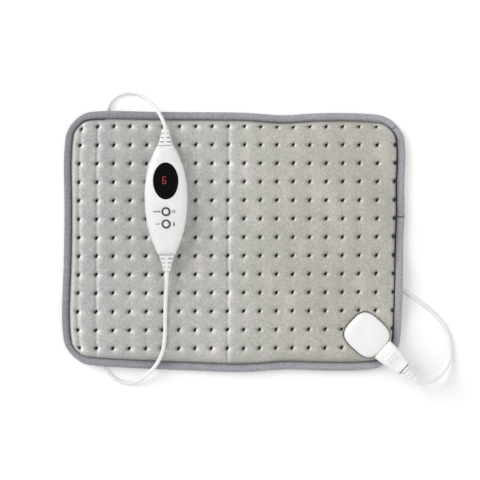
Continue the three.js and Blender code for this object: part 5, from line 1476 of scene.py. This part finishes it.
    def on_skin(self, bm: Shape, lift: float = 0.00005) -> Shape:
        """Lays a flat mark on the upper shell and gives it a printed thickness.

        Args:
            bm: The mark, level at any height.
            lift: Its thickness.

        Returns:
            The mark in its place on the pad.
        """
        for vert in bm.verts:
            vert.co.z = self.skin(vert.co.x, vert.co.y)
        grown = bmesh.ops.extrude_face_region(bm, geom=bm.faces[:])["geom"]
        raised = [part for part in grown if isinstance(part, bmesh.types.BMVert)]
        bmesh.ops.translate(bm, vec=(0, 0, lift), verts=raised)
        bmesh.ops.recalc_face_normals(bm, faces=bm.faces)
        return self.placed(bm)

    @staticmethod
    def numerals(text: str, size: float, x: float, y: float) -> Shape:
        """Plain numerals as a level mesh.

        Args:
            text: The numerals.
            size: Their size.
            x: Right end of the text along X.
            y: Middle of the text along Y.

        Returns:
            The mesh.
        """
        curve = bpy.data.curves.new("numerals", "FONT")
        bolder = 0.04
        curve.body, curve.size, curve.offset = text, size, size * bolder
        curve.align_x, curve.align_y = "RIGHT", "CENTER"
        written = bpy.data.objects.new("numerals", curve)
        bpy.context.scene.collection.objects.link(written)
        graph = bpy.context.evaluated_depsgraph_get()
        outlines = bpy.data.meshes.new_from_object(written.evaluated_get(graph))
        bm = bmesh.new()
        bm.from_mesh(outlines)
        bpy.data.meshes.remove(outlines)
        bpy.data.curves.remove(curve)
        bmesh.ops.remove_doubles(bm, verts=bm.verts, dist=1e-6)
        bmesh.ops.translate(bm, vec=(x, y, 0), verts=bm.verts)
        return bm

    @staticmethod
    def flat_ring(radius: float, line: float, x: float, y: float) -> Shape:
        """A level ring of a line's width."""
        bm = bmesh.new()
        for size in (radius, radius - line):
            bmesh.ops.create_circle(bm, segments=28, radius=size)
        bmesh.ops.bridge_loops(bm, edges=bm.edges[:])
        bmesh.ops.translate(bm, vec=(x, y, 0), verts=bm.verts)
        return bm

    @staticmethod
    def flat_bar(x0: float, y0: float, x1: float, y1: float) -> Shape:
        """A level bar between two corners."""
        bm = bmesh.new()
        bmesh.ops.create_grid(bm, x_segments=1, y_segments=1, size=0.5)
        bmesh.ops.scale(bm, vec=(x1 - x0, y1 - y0, 1), verts=bm.verts)
        bmesh.ops.translate(bm, vec=((x0 + x1) / 2, (y0 + y1) / 2, 0), verts=bm.verts)
        return bm

    def marks(self) -> None:
        """Prints the plain numerals and signs beside the buttons: a clock and a thermometer."""
        (_, timer_y), (_, heat_y) = self.buttons
        left, right, size, line, thin = -0.0068, 0.0092, 0.0026, 0.0006, 0.00015
        shapes = [self.numerals("0-30-90", size, left, timer_y), self.numerals("1-3-6", size, left, heat_y),
                  self.flat_ring(0.0018, line, right, timer_y),
                  self.flat_bar(right - thin, timer_y, right + thin, timer_y + 0.0010),
                  self.flat_bar(right, timer_y - thin, right + 0.0008, timer_y + thin),
                  self.flat_ring(0.0011, 0.00105, right, heat_y - 0.0014),
                  self.flat_bar(right - line, heat_y - line, right + line, heat_y + 0.0025)]
        piece("printed_marks", merged([self.on_skin(shape) for shape in shapes]), MARK_GREY, Body.CONTROLLER,
              slot="button_ring")

    def boot_width(self, share: float) -> float:
        """Width of a boot at a share of the way to its tip."""
        return self.boot[3] + (self.boot[1] - self.boot[3]) * (1 - share) ** 1.5

    def boots(self) -> None:
        """Builds the two slotted strain-relief boots."""
        length, base_width, base_height, tip_width, tip_height = self.boot
        first, pitch, slot, spine, rim = self.boot_slots
        face = self.length / 2 + self.gap
        tip = self.length / 2 + length
        for name, turn in (("upper_boot", 0.0), ("lower_boot", math.pi)):
            neck, neck_width, neck_height = self.boot_neck
            stations = [(face - neck, neck_width, neck_height), (face, neck_width, neck_height),
                        (face, base_width - self.boot_edge, base_height - self.boot_edge)]
            for share in (0.02, 0.1, 0.2, 0.3, 0.4, 0.5, 0.62, 0.76, 0.9):
                stations.append((face + (tip - face) * share, self.boot_width(share),
                                 base_height + (tip_height - base_height) * share))
            stations += [(tip - back, tip_width - less, tip_height - less) for back, less in self.boot_tip]
            cutters = []
            for k in range(3):
                y = tip - first - k * pitch
                width = self.boot_width((y - face) / (tip - face))
                for side in (-1, 1):
                    near, far = sorted((side * spine / 2, side * (width / 2 - rim)))
                    cutters.append(block(Vector((near, y - slot / 2, 0.0)),
                                         Vector((far, y + slot / 2, 2 * self.parting))))
            shape = carved(bar(stations, self.parting, 3.4), cutters)
            bmesh.ops.rotate(shape, cent=(0, 0, 0), matrix=Matrix.Rotation(turn, 3, "Z"), verts=shape.verts)
            piece(f"{name}_relief", self.placed(shape), BOOT_WHITE, Body.CONTROLLER, name, sharp=35)

    def build(self) -> None:
        """Builds and dresses the whole controller."""
        self.shells()
        self.display()
        self.keys()
        self.marks()
        self.boots()
        dressed(BOARD_GREEN, "control_board", "mains_terminal", "pad_terminal")
        dressed(DARK_PLASTIC, "display_module", "timer_switch_body", "heat_switch_body", "triac")
        dressed(BUTTON_WHITE, "timer_switch_plunger", "heat_switch_plunger")
        dressed(CAPACITOR_BLUE, "film_capacitor")
        dressed(FUSE_GLASS, "fuse")
        dressed(STEEL, *(f"controller_screw_{k}" for k in range(1, 5)))


# Pad connector
def ribbed(length: float, base: float, tip: float, ribs: int, start: float) -> list[Triple]:
    """Sections of a tapered strain relief along Y, with grooves between rounded ribs.

    Args:
        length: Its length.
        base: Width of its first rib.
        tip: Width of its last rib.
        ribs: Count of its ribs.
        start: Where it starts along Y.

    Returns:
        Y, width and height of each section.
    """
    step, flatness = length / ribs, 0.82
    sections = []
    for k in range(ribs):
        size = base + (tip - base) * k / (ribs - 1)
        shape = [(0.0, 0.64), (0.08, 0.64), (0.10, 0.94), (0.15, 1.0), (0.50, 0.97), (0.56, 0.93),
                 (0.58, 0.80)]
        if k + 1 < ribs:
            shape += [(0.60, 0.66), (0.98, 0.66)]
        else:
            shape += [(0.8, 0.86), (0.97, 0.82), (1.0, 0.74)]
        sections += [(start + (k + at) * step, size * share, size * share * flatness) for at, share in shape]
    return sections


@dataclass
class Connector(Placed):
    """The rounded socket housing on the pad and the plug that pulls out of it."""

    centre: Triple = (0.1564, -0.1088, 0.0179)
    turn: float = math.radians(-132.2)
    socket: Triple = (0.0445, 0.0478, 0.0156)  # Width, length and height of the housing
    parting: float = 0.0075  # Height of the parting line
    wall: float = 0.0022  # Thickness of the housing
    gap: float = 0.0003  # Gap between pieces
    squareness: float = 3.2  # Power of the housing's outline
    # Inset and height of the housing's rounded foot
    foot: tuple[Pair, ...] = ((0.0, 0.0030), (0.0004, 0.0014), (0.0014, 0.0004), (0.0026, 0.0))
    # Share of the width by which the cap draws in, share of its rise where it rounds, and the power
    dome: Triple = (0.3, 0.42, 0.9)
    nose: Triple = (0.020, 0.009, 0.016)  # Width, height and length of the plug's nose
    plug: Triple = (0.0267, 0.013, 0.0343)  # Width, height and length of the plug
    plug_end: Pair = (0.017, 0.0104)  # Width and height of the plug at its end
    # Count, pitch, length and width of the plug's grip ribs, and their rise
    ribs: tuple[int, float, float, float, float] = (4, 0.0031, 0.013, 0.0013, 0.0011)
    relief: Triple = (0.0197, 0.013, 0.007)  # Length, base and tip of the plug's strain relief
    # Thickness of the dark ring behind the plug, a painted shade of the gap there, and how much smaller than
    # the plug's end it is
    shade_ring: Pair = (0.0007, 0.0010)
    contacts: tuple[float, ...] = (-0.0062, 0.0, 0.0062)  # Places of the contacts across the nose

    def outline(self, inset: float, z: float, steps: int = 72) -> Ring:
        """A level ring of the housing at an inset."""
        width, length, _ = self.socket
        spots = superoval(width - 2 * inset, length - 2 * inset, self.squareness, steps)
        return [Vector((x, y, z)) for x, y in spots]

    def mouth(self) -> Shape:
        """A cutter for the plug's nose."""
        play, reach = 0.0004, 0.040
        half_x, half_z = self.nose[0] / 2 + play, self.nose[1] / 2 + play
        return block(Vector((-half_x, 0.0, self.parting - half_z)),
                     Vector((half_x, reach, self.parting + half_z)))

    def housing(self) -> None:
        """Builds the base and the cap of the socket."""
        rim = self.parting - self.gap / 2
        shell = [self.outline(inset, z) for inset, z in ((0.0, rim), *self.foot)]
        tray = [self.outline(self.wall, rim), self.outline(self.wall, self.wall)]
        base = carved(lofted(shell[::-1] + tray), [self.mouth()])
        piece("housing_base", self.placed(base), SOCKET_WHITE, Body.PAD, "socket_base", sharp=32)
        foot = self.parting + self.gap / 2
        rise = self.socket[2] - foot
        rows, steps = [(0.0, foot)], 10
        draw, brow, power = self.dome
        for k in range(steps + 1):
            angle = math.pi / 2 * k / steps
            up = brow + (1 - brow) * math.sin(angle) ** power
            rows.append((draw * self.socket[0] * (1 - math.cos(angle)), foot + rise * up))
        shell = [self.outline(inset, z) for inset, z in rows]
        inner = [self.outline(inset + self.wall, z - self.wall if k else z)
                 for k, (inset, z) in enumerate(rows)]
        cap = carved(lofted(inner[::-1] + shell), [self.mouth()])
        piece("housing_cap", self.placed(cap), SOCKET_WHITE, Body.PAD, "socket_cap", sharp=32)

    def plug_body(self) -> list[Shape]:
        """The plug's upper and lower half, bored for its contacts."""
        nose_width, nose_height, nose_length = self.nose
        width, height, length = self.plug
        end_width, end_height = self.plug_end
        start = self.socket[1] / 2 + self.gap
        fine, edge = 0.0004, 0.0008
        stations = [(start - nose_length, nose_width - edge, nose_height - edge),
                    (start - nose_length + fine, nose_width, nose_height), (start, nose_width, nose_height)]
        stations += [(start + along, width - less, height - less)
                     for along, less in ((0.0, 0.002), (0.0003, edge), (0.001, 0.0))]
        for share in (0.2, 0.35, 0.5, 0.65, 0.8, 0.92):
            drawn = smoothstep(share, 0.1, 1.05)
            stations.append((start + length * share, width + (end_width + 0.001 - width) * drawn,
                             height + (end_height - height) * smoothstep(share, 0.4, 1.0)))
        rounding = ((0.0012, 0.0006, 0.0), (0.0003, -0.0004, 0.001), (0.0, -0.0016, 0.0022))
        stations += [(start + length - back, end_width + more, end_height - less)
                     for back, more, less in rounding]
        halves = []
        for side in (1, -1):
            half = bar(stations, self.parting, 3.6)
            cut = bmesh.ops.bisect_plane(half, geom=half.verts[:] + half.edges[:] + half.faces[:],
                                         plane_co=(0, 0, self.parting + side * self.gap / 2),
                                         plane_no=(0, 0, -side), clear_outer=True)["geom_cut"]
            rim = [part for part in cut if isinstance(part, bmesh.types.BMEdge)]
            bmesh.ops.edgeloop_fill(half, edges=rim)
            bmesh.ops.recalc_face_normals(half, faces=half.faces)
            bore, bores = 0.0032, []
            for x in self.contacts:
                bores.append(bar([(start - nose_length - 0.001, bore, bore), (start - 0.002, bore, bore)],
                                 self.parting, 2.0))
                bmesh.ops.translate(bores[-1], vec=(x, 0, 0), verts=bores[-1].verts)
            halves.append(carved(half, bores))
        return halves

    def build(self) -> list[Piece]:
        """Builds and dresses the connector.

        Returns:
            The pieces of the plug, which end the pad's lead.
        """
        self.housing()
        dressed(DARK_PLASTIC, "socket_contact_block")
        dressed(BRASS, *(f"socket_pin_{k}" for k in (1, 2, 3)))
        contacts = dressed(BRASS, *(f"plug_contact_{k}" for k in (1, 2, 3)))
        dressed(STEEL, "socket_clamp_plate", "socket_screw_1", "socket_screw_2")
        upper, lower = self.plug_body()
        count, pitch, rib_length, rib_width, rise = self.ribs
        start = self.socket[1] / 2 + self.gap
        middle = start + self.plug[2] / 2
        top = self.parting + self.plug[1] / 2
        grips, root, slope, edge = [upper], 0.0022, 0.0004, 0.0002
        for k in range(count):
            y = middle + (k - (count - 1) / 2) * pitch
            sink = slope * max(k - 1, 0)
            grips.append(block(Vector((-rib_length / 2, y - rib_width / 2, top - root - sink)),
                               Vector((rib_length / 2, y + rib_width / 2, top + rise - sink)), edge))
        pieces = [piece(f"plug_{half}", self.placed(shape), PLUG_WHITE, Body.PLUG, f"plug_{half}_shell",
                        sharp=35) for half, shape in (("upper", merged(grips)), ("lower", lower))]
        length, base, tip = self.relief
        end = start + self.plug[2]
        thick, smaller = self.shade_ring
        faces = [(y, self.plug_end[0] - smaller, self.plug_end[1] - smaller) for y in (end, end + thick)]
        shade_ring = self.placed(bar(faces, self.parting, 3.6))
        # A dark ring painting the shade of the gap between the plug and its strain relief
        pieces.append(piece("plug_shade_ring", shade_ring, RING_GREY, Body.PLUG))
        sections = ribbed(length, base, tip, 4, end + self.gap)
        relief = self.placed(bar(sections, self.parting, 2.6))
        pieces.append(piece("plug_strain_relief", relief, PLUG_WHITE, Body.PLUG, "plug_relief", sharp=45))
        return pieces + contacts


# Leads
class Lead(Enum):
    """Routes of the leads' stretches, in millimetres. A place without a height is on the table."""

    MAINS_LOOP = ((-80.5, 126.9, 27.9), (-80.9, 130.9, 27.7), (-82.4, 137.5, 27.0), (-86.6, 146.5, 23.6),
                  (-92.7, 156.0, 17.6), (-99.2, 163.5, 12.2), (-107.6, 169.7, 7.4), (-115.2, 173.2, 4.4),
                  (-122.6, 174.2, 2.9), (-130.8, 173.2), (-138.8, 169.9), (-145.0, 164.8),
                  (-148.8, 158.4), (-149.8, 150.5), (-149.0, 143.0))
    MAINS_RUN = ((-149.0, 143.0), (-147.5, 126.0), (-139.0, 104.0), (-120.0, 82.0),
                 (-88.0, 60.0), (-48.0, 35.0), (-8.0, 11.0), (32.0, -8.0), (66.0, -14.9, 2.8),
                 (92.6, -14.83, 3.2))
    PAD_LOOP = ((-78.2, -31.9, 27.9), (-78.1, -35.9, 27.7), (-78.4, -46.0, 26.6), (-79.2, -60.0, 22.4),
                (-79.8, -74.0, 20.2), (-80.0, -92.0, 20.0), (-80.1, -108.0, 20.0), (-80.9, -118.0, 20.0),
                (-82.3, -127.0, 19.4), (-85.5, -136.4, 17.4), (-90.9, -146.0, 14.3), (-97.8, -154.6, 11.2),
                (-106.5, -162.2, 7.4), (-115.3, -166.9, 4.4), (-123.5, -168.3, 2.9), (-131.8, -166.9),
                (-140.3, -162.4), (-146.6, -156.2), (-149.8, -148.5), (-150.4, -141.0))
    PAD_RUN = ((-150.4, -141.0), (-148.5, -124.0), (-139.0, -104.0), (-118.0, -88.0),
               (-82.0, -77.0), (-38.0, -70.0), (12.0, -66.0), (62.0, -61.0), (108.0, -50.0),
               (142.0, -40.5), (165.0, -39.0), (180.0, -43.2), (190.2, -49.4))
    SIDE_LOOP = ((190.2, -49.4), (199.8, -56.2), (208.6, -62.2), (219.6, -70.2),
                 (230.0, -78.4), (240.6, -88.2), (249.4, -100.2), (254.8, -114.2, 2.5),
                 (256.3, -129.5, 3.2), (254.3, -142.0, 5.6), (248.2, -152.4, 10.0), (240.0, -159.6, 15.6),
                 (231.2, -163.8, 20.6), (222.4, -165.0, 24.0), (215.2, -162.2, 25.2), (211.6, -159.0, 25.4))


def smooth_route(spots: Sequence[Vector], spacing: float = 0.003, steps: int = 24) -> list[Vector]:
    """Points at an even spacing on a smooth curve through a route.

    Args:
        spots: The route.
        spacing: Distance between the points.
        steps: Steps between the places of the route.

    Returns:
        The points.
    """
    ends = [2 * spots[0] - spots[1], *spots, 2 * spots[-1] - spots[-2]]
    fine = []
    for p0, p1, p2, p3 in zip(ends, ends[1:], ends[2:], ends[3:]):
        t1 = math.sqrt((p1 - p0).length)
        t2 = t1 + math.sqrt((p2 - p1).length)
        t3 = t2 + math.sqrt((p3 - p2).length)
        for k in range(steps):
            t = t1 + (t2 - t1) * k / steps
            a1 = p0.lerp(p1, t / t1)
            a2 = p1.lerp(p2, (t - t1) / (t2 - t1))
            a3 = p2.lerp(p3, (t - t2) / (t3 - t2))
            b1, b2 = a1.lerp(a2, t / t2), a2.lerp(a3, (t - t1) / (t3 - t1))
            fine.append(b1.lerp(b2, (t - t1) / (t2 - t1)))
    fine.append(spots[-1])
    walked, kept = 0.0, [fine[0]]
    for before, after in zip(fine, fine[1:]):
        walked += (after - before).length
        if walked >= spacing:
            kept.append(after)
            walked = 0.0
    kept[-1] = fine[-1]
    return kept


@dataclass
class Leads:
    """The mains lead, with its plug and its coil under the pad, and the lead to the pad's connector."""

    diameter: float = 0.0044
    sides: int = 16  # Count of points round a lead
    on_table: float = 2.4  # Height of a lead that lies on the table, in millimetres
    coil_centre: Pair = (0.098, 0.020)  # Middle of the coil
    coil_radius: float = 0.014  # Radius of its innermost turn
    coil_pitch: float = 0.0049  # Distance from turn to turn
    coil_turns: float = 8.5  # Count of its turns, in on the table and out on top
    coil_level: float = 0.0032  # Height of its lower layer
    tail: Pair = (0.0834, 0.00695)  # Where the coil's outer end reaches the plug, along X and Z

    def tube(self, points: Sequence[Vector]) -> Shape:
        """A round tube along a line of points.

        Args:
            points: Its centreline.

        Returns:
            The tube, closed at its ends.
        """
        rings = []
        side = None
        for k, point in enumerate(points):
            along = (points[min(k + 1, len(points) - 1)] - points[max(k - 1, 0)]).normalized()
            side = Vector((along.y, -along.x, 0)) if side is None else side
            side = (side - along * side.dot(along)).normalized()
            up = side.cross(along)
            turns = (math.tau * i / self.sides for i in range(self.sides))
            radius = self.diameter / 2
            rings.append([point + (side * math.cos(t) + up * math.sin(t)) * radius for t in turns])
        return lofted(rings)

    def coil_route(self, steps: int = 36) -> list[Vector]:
        """The coil's centreline: in on the table, up at its middle and out on top."""
        cx, cy = self.coil_centre
        half = self.coil_turns / 2
        outer = self.coil_radius + self.coil_pitch * half
        lead_in, tail_step, tail_rise = 0.0054, 0.004, 0.0004
        points = [Vector((cx - lead_in, cy - outer, self.coil_level))]
        for k in range(round(self.coil_turns * steps) + 1):
            turn = k / steps
            radius = self.coil_radius + self.coil_pitch * abs(turn - half)
            angle = math.tau * turn - math.pi / 2
            z = self.coil_level + self.coil_pitch * smoothstep(turn, half - 0.25, half + 0.25)
            points.append(Vector((cx + radius * math.cos(angle), cy + radius * math.sin(angle), z)))
        x, z = self.tail
        tail = ((2 * tail_step, tail_rise), (tail_step, 0.0), (0.0, 0.0))
        points += [Vector((x + back, cy + outer, z + rise)) for back, rise in tail]
        return points

    def lay(self, name: str, points: Sequence[Vector], node: str, far_end: str, body: Body | None = Body.PAD,
            with_pieces: Sequence[Piece] = (), every: int = 2) -> Piece:
        """Args:
            name: The stretch's name.
            points: Its centreline.
            node: The CAD node that it stands for.
            far_end: What its far end goes into; not used.
            body: The body that it rides on, or None where it rides on none.
            with_pieces: Pieces on its far end; not used.
            every: Not used.

        Returns:
            The stretch.
        """
        made = piece(name, self.tube(points), CORD_WHITE, body, node, sharp=50)
        return made

    def route(self, lead: Lead) -> list[Vector]:
        """Evenly spaced points of a stretch, in metres."""
        return smooth_route([Vector((*spot, self.on_table)[:3]) * MM for spot in lead.value])

    def build(self, plug: Sequence[Piece]) -> None:
        """Builds the leads.

        Args:
            plug: The pieces of the connector's plug.
        """
        mains = dressed(PLUG_WHITE, "mains_plug_body", "mains_plug_relief")
        mains += dressed(BRASS, "mains_plug_pin_1", "mains_plug_pin_2")
        mains += dressed(DARK_PLASTIC, "coil_tie")
        loop = self.lay("mains_lead_arc", self.route(Lead.MAINS_LOOP), "mains_lead_loop", "object", None)
        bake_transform(loop)
        self.lay("mains_lead_under", self.route(Lead.MAINS_RUN), "mains_lead_run", "object", every=5)
        self.lay("mains_lead_wound", self.coil_route(), "mains_lead_coil", "plug", with_pieces=mains)
        loop = self.lay("pad_lead_arc", self.route(Lead.PAD_LOOP), "pad_lead_loop", "object", None)
        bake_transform(loop)
        self.lay("pad_lead_under", self.route(Lead.PAD_RUN), "pad_lead_run", "object", every=5)
        loop = self.lay("pad_lead_bow", self.route(Lead.SIDE_LOOP), "pad_lead_side_loop", "connector", None,
                        plug)
        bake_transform(loop)


# Studio
@dataclass
class Studio:
    """A pale floor, soft light from the upper left and a camera straight above."""

    camera_at: Triple = (0.0073, 0.0015, 3.149)  # The camera's place
    camera_roll: float = math.radians(0.3)  # Its roll
    lens: float = 200.0  # Its focal length in millimetres on a 36 mm frame
    sky: float = 0.40  # Strength of the even light all round
    key: float = 2.1  # Strength of the key light
    key_from: Triple = (-0.85, 0.48, 0.68)  # Direction towards the key light
    key_spread: float = math.radians(42)  # How wide the key light is, as an angle
    fill: float = 1.25  # Strength of the fill light
    fill_from: Triple = (0.75, -0.40, 0.55)  # Direction towards the fill light
    fill_spread: float = math.radians(70)  # How wide the fill light is, as an angle
    floor: Colour = (244, 244, 244)
    # Painted light that the floor gives to the camera alone, far from the key light and towards it
    floor_glow: Pair = (0.12, 0.29)
    glow_toward: Pair = (-0.6, 0.8)  # Direction on the floor in which that changes
    glow_reach: float = 0.16  # Distance from the middle over which it changes

    def seen(self, graph: Graph) -> Socket:
        """A mask of the rays that show the background: camera, glossy and transmission rays."""
        path = graph.node("LightPath").outputs
        shown = graph.sums("MAXIMUM", path["Is Camera Ray"], path["Is Glossy Ray"])
        return graph.sums("MAXIMUM", shown, path["Is Transmission Ray"])

    def ground(self) -> None:
        """Lays the floor."""
        bm = bmesh.new()
        half_width, drop = 4.0, 0.00005
        bmesh.ops.create_grid(bm, x_segments=1, y_segments=1, size=half_width)
        bmesh.ops.translate(bm, vec=(0, 0, -drop), verts=bm.verts)
        ground = to_object("floor", bm)
        made, graph, shader = new_material("floor")
        toward = (*self.glow_toward, 0.0)
        where = graph.node("TexCoord").outputs["Object"]
        # Painted light: the floor's glow for the camera grows towards the key light
        lit = graph.node("VectorMath", {0: where, 1: toward}, operation="DOT_PRODUCT").outputs["Value"]
        glow = graph.spread(lit, (-self.glow_reach, self.glow_reach), self.floor_glow)
        glow = graph.sums("MULTIPLY", self.seen(graph), glow)
        wire(graph, shader, Base_Color=linear(self.floor), Roughness=1.0, Specular_IOR_Level=0.0,
             Emission_Color=(1, 1, 1, 1), Emission_Strength=glow)
        ground.data.materials.append(made)

    def light(self) -> None:
        """Sets the even light, the key light and the fill light."""
        world = bpy.data.worlds.new("studio")
        bpy.context.scene.world = world
        world.use_nodes = True
        graph = Graph(world.node_tree)
        back = world.node_tree.nodes["Background"]
        strength = graph.spread(self.seen(graph), (0, 1), (self.sky, 1.0))
        wire(graph, back, Color=(1, 1, 1, 1), Strength=strength)
        lamps = (("key", self.key, self.key_from, self.key_spread),
                 ("fill", self.fill, self.fill_from, self.fill_spread))
        for name, energy, toward, spread in lamps:
            lamp = bpy.data.lights.new(name, "SUN")
            lamp.energy, lamp.angle = energy, spread
            placed = bpy.data.objects.new(name, lamp)
            placed.rotation_euler = Vector(toward).to_track_quat("Z", "Y").to_euler()
            bpy.context.scene.collection.objects.link(placed)

    def watch(self) -> None:
        """Sets the camera."""
        eye = bpy.data.cameras.new("above")
        eye.lens, eye.sensor_width, eye.sensor_fit = self.lens, 36.0, "HORIZONTAL"
        camera = bpy.data.objects.new("above", eye)
        camera.location = self.camera_at
        camera.rotation_euler = (0, 0, self.camera_roll)
        bpy.context.scene.collection.objects.link(camera)
        bpy.context.scene.camera = camera

    def build(self) -> None:
        """Builds the studio."""
        bpy.context.scene.view_settings.view_transform = "Standard"
        self.ground()
        self.light()
        self.watch()


def main() -> None:
    """Builds the pad, its controller, its connector and its leads, and lights them."""
    logging.basicConfig(level=logging.INFO, format="%(message)s")
    noise.seed_set(PIT_SEED)
    Studio().build()
    lay = PadLay()
    covers = PadCovers(lay)
    covers.plush()
    covers.back()
    EdgeBinding(lay).build()
    dressed(FELT, "heating_felt")
    dressed(WIRE_RED, "heating_wire")
    dressed(STEEL, "thermal_cutout")
    dressed(DARK_PLASTIC, "temperature_sensor")
    Controller().build()
    plug = Connector().build()
    Leads().build(plug)


if __name__ == "__main__":
    main()
